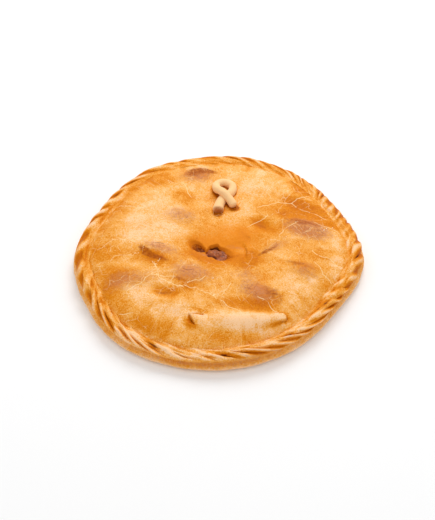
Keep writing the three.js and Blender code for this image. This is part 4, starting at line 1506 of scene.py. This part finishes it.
class EMPANADA_OT_filling(bpy.types.Operator):
    """Model the filling that shows in the vent: a bed with lumps on it"""

    bl_idname = "empanada.filling"
    bl_label = "Filling"

    def execute(self, context):
        bed = FILLING_BED
        shell = bmesh.new()
        bmesh.ops.create_icosphere(shell, subdivisions=6, radius=1)
        bmesh.ops.scale(shell, vec=(bed.long, bed.wide, bed.rise), verts=shell.verts)
        bmesh.ops.translate(shell, vec=(bed.x, bed.y, FILLING_FOOT), verts=shell.verts)
        for x, y, z, radius in FILLING_LUMPS:
            spot = Matrix.Translation((x, y, z))
            bmesh.ops.create_icosphere(shell, subdivisions=4, radius=radius, matrix=spot)
        # How deep each gap is, kept for its painted shade
        hollow = []
        for corner in shell.verts:
            gap = forms_at(FILLING_GAPS, corner.co.x, corner.co.y)
            crumb = noise.fractal(corner.co / FILLING_CRUMB, 1.0, 2.0, 3)
            corner.co.z += FILLING_UNEVENNESS * crumb - gap
            hollow.append(gap)
        cooked = filling_material(context.scene.empanada_colours)
        piece = finished_piece("cooked_filling", shell, cooked, {"hollow": hollow})
        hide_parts("filling")
        return {"FINISHED"}


def on_lid(x, y):
    """Height of the lid at one place."""
    return float(lid_height(np.array([x]), np.array([y]))[0])


def loop_line():
    """Middle line of the loop's strand: a smooth curve through its points, standing on the lid."""
    knots = []
    for x, y, over in LOOP_PATH:
        knots.append(Vector((x, y, on_lid(x, y) + LOOP_STANDS + LOOP_BRIDGE * over)))
    ahead = [2 * knots[0] - knots[1], *knots, 2 * knots[-1] - knots[-2]]
    pulls = [(after - before) / 6 for before, after in zip(ahead, ahead[2:])]
    line = []
    for (start, end), (pull, brake) in zip(zip(knots, knots[1:]), zip(pulls, pulls[1:])):
        span = geometry.interpolate_bezier(start, start + pull, end - brake, end, LOOP_STEPS_PER_SPAN + 1)
        line += span[:-1]
    return [*line, knots[-1]]


def strand_radius(sizes, share, from_end):
    """Radius of the strand at a share of its way: thick at its start and rounded off at both ends."""
    radius = float(np.interp(share, (0, LOOP_TAPER), (sizes.strand_thick, sizes.strand_thin))) / MM
    if min(share, 1 - share) < LOOP_END_SHARE:
        blunt = min(1, (from_end + LOOP_TIP) / (LOOP_ROUNDING * radius))
        radius *= math.sqrt(1 - (1 - blunt) ** 2)
    return radius


def strand_ring(shell, spot, ahead, radius):
    """Edges of a new ring that stands across the strand's way."""
    side = Vector((ahead.y, -ahead.x, 0)).normalized()
    turn = Matrix((side, side.cross(ahead), ahead)).transposed().to_4x4()
    place = Matrix.Translation(spot) @ turn
    ring = bmesh.ops.create_circle(shell, segments=LOOP_SIDES, radius=radius, matrix=place)["verts"]
    return list({edge for corner in ring for edge in corner.link_edges})


class EMPANADA_OT_dough_loop(bpy.types.Operator):
    """Model the loop: a ring drawn along the strand's line, thick at one end and rounded at both"""

    bl_idname = "empanada.dough_loop"
    bl_label = "Dough loop"

    def execute(self, context):
        sizes = context.scene.empanada_sizes
        line = loop_line()
        last = len(line) - 1
        shell = bmesh.new()
        masks = []
        rim = None
        for number, spot in enumerate(line):
            ahead = (line[min(number + 1, last)] - line[max(number - 1, 0)]).normalized()
            from_ends = [(spot - end).length for end in (line[0], line[-1])]
            radius = strand_radius(sizes, number / last, min(from_ends))
            edges = strand_ring(shell, spot, ahead, radius)
            if rim:
                bmesh.ops.bridge_loops(shell, edges=rim + edges)
            else:
                bmesh.ops.contextual_create(shell, geom=edges)
            rim = edges
            browned = [most - away / run for (most, run), away in zip(LOOP_BROWNED, from_ends)]
            masks += [max(*browned, 0)] * LOOP_SIDES
        bmesh.ops.contextual_create(shell, geom=rim)
        noise.seed_set(LOOP_SEED)
        for corner in shell.verts:
            corner.co += LOOP_UNEVENNESS * noise.noise_vector(corner.co / LOOP_LUMP_SIZE)
        dough = loop_material(context.scene.empanada_colours)
        piece = finished_piece("dough_strand", shell, dough, {"browned": masks})
        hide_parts("dough_loop")
        return {"FINISHED"}


class EMPANADA_OT_salt(bpy.types.Operator):
    """Model the loose grains of salt that lie on the lid"""

    bl_idname = "empanada.salt"
    bl_label = "Salt grains"

    def execute(self, context):
        shell = bmesh.new()
        chance = np.random.default_rng(SALT_SEED)
        for x, y in SALT_PLACES:
            turn = Matrix.Rotation(chance.uniform(0, math.pi), 4, tuple(chance.normal(size=3)))
            size = SALT_SIZE * chance.uniform(*SALT_VARIATION)
            spot = Matrix.Translation((x, y, on_lid(x, y) + SALT_STANDS * size))
            made = bmesh.ops.create_cube(shell, size=size, matrix=spot @ turn)
            edges = list({edge for corner in made["verts"] for edge in corner.link_edges})
            worn = SALT_WORN * size
            bmesh.ops.bevel(
                shell, geom=edges, offset=worn, affect="EDGES", segments=2, profile=0.5, material=-1
            )
        piece = finished_piece("salt_grains", shell, salt_material(context.scene.empanada_colours))
        return {"FINISHED"}


def area_light(name, spot, size, energy):
    """Round soft light that shines on the pie."""
    lamp = bpy.data.lights.new(name, "AREA")
    lamp.shape = "DISK"
    lamp.size = size
    lamp.energy = energy
    holder = bpy.data.objects.new(name, lamp)
    holder.location = spot
    holder.rotation_euler = (LIT_SPOT - spot).to_track_quat("-Z", "Y").to_euler()
    bpy.context.scene.collection.objects.link(holder)


def floor_material(look):
    """Plain matt floor."""
    made, shade = new_material("floor")
    tint = shade.noise(shade.place(), 90.0, 2.0)
    base = shade.mix(shade.step(tint, 0.3, 0.7, 0.0, 0.02), look.floor[:], (1.0, 1.0, 1.0))
    finish_material(shade, base, 0.8, bumped(shade, tint, 0.02, 0.5))
    return made


def add_floor(look):
    """Plain floor that the pie stands on."""
    ground = bmesh.new()
    bmesh.ops.create_grid(ground, x_segments=1, y_segments=1, size=FLOOR_HALF)
    mesh = bpy.data.meshes.new("floor")
    ground.to_mesh(mesh)
    ground.free()
    mesh.materials.append(floor_material(look))
    floor = bpy.data.objects.new("floor", mesh)
    bpy.context.scene.collection.objects.link(floor)


def add_sky(look):
    """Even white light from all round."""
    world = bpy.data.worlds.new("studio")
    world.use_nodes = True
    sky = world.node_tree.nodes["Background"]
    sky.inputs["Strength"].default_value = look.sky
    sky.inputs["Color"].default_value = (1, 1, 1, 1)
    bpy.context.scene.world = world


def add_camera(look):
    """Camera that looks down on the pie from the front."""
    view = bpy.data.cameras.new("camera")
    view.lens = look.lens
    view.sensor_width = SENSOR_WIDTH
    holder = bpy.data.objects.new("camera", view)
    back = Vector((0, -math.cos(look.elevation), math.sin(look.elevation)))
    holder.location = LOOKED_AT + back * look.distance
    holder.rotation_euler = (math.pi / 2 - look.elevation, 0, 0)
    bpy.context.scene.collection.objects.link(holder)
    bpy.context.scene.camera = holder


class EMPANADA_OT_stage(bpy.types.Operator):
    """Set the stage: plain floor, soft light from behind and above, and the camera"""

    bl_idname = "empanada.stage"
    bl_label = "Stage"

    def execute(self, context):
        look = context.scene.empanada_stage
        add_floor(look)
        add_sky(look)
        area_light("key", KEY_PLACE, KEY_SIZE, look.key_power)
        area_light("fill", FILL_PLACE, FILL_SIZE, look.fill_power)
        add_camera(look)
        context.scene.view_settings.view_transform = "Standard"
        return {"FINISHED"}


class EMPANADA_PT_panel(bpy.types.Panel):
    """Lists the pieces, their sizes and their colours"""

    bl_idname = "EMPANADA_PT_panel"
    bl_label = "Empanada"
    bl_space_type = "VIEW_3D"
    bl_region_type = "UI"
    bl_category = "Empanada"

    def draw(self, context):
        for setting in GROUPS:
            group = getattr(context.scene, setting)
            box = self.layout.box()
            for name in group.bl_rna.properties.keys():
                if name not in {"rna_type", "name"}:
                    box.prop(group, name)
        for operator in OPERATORS:
            self.layout.operator(operator.bl_idname)


OPERATORS = (
    EMPANADA_OT_crust,
    EMPANADA_OT_filling,
    EMPANADA_OT_dough_loop,
    EMPANADA_OT_salt,
    EMPANADA_OT_stage,
)
GROUPS = {
    "empanada_sizes": EmpanadaSizes,
    "empanada_colours": EmpanadaColours,
    "empanada_stage": EmpanadaStage,
}


def register():
    """Add the classes and the scene's settings to Blender."""
    for made in (*GROUPS.values(), *OPERATORS, EMPANADA_PT_panel):
        bpy.utils.register_class(made)
    for name, group in GROUPS.items():
        setattr(bpy.types.Scene, name, PointerProperty(type=group))


def unregister():
    """Take the settings and the classes out again."""
    for name in GROUPS:
        delattr(bpy.types.Scene, name)
    for made in (EMPANADA_PT_panel, *reversed(OPERATORS), *GROUPS.values()):
        bpy.utils.unregister_class(made)


def main():
    """Make every piece and the stage."""
    register()
    bpy.ops.empanada.crust()
    bpy.ops.empanada.filling()
    bpy.ops.empanada.dough_loop()
    bpy.ops.empanada.salt()
    bpy.ops.empanada.stage()


if __name__ == "__main__":
    main()
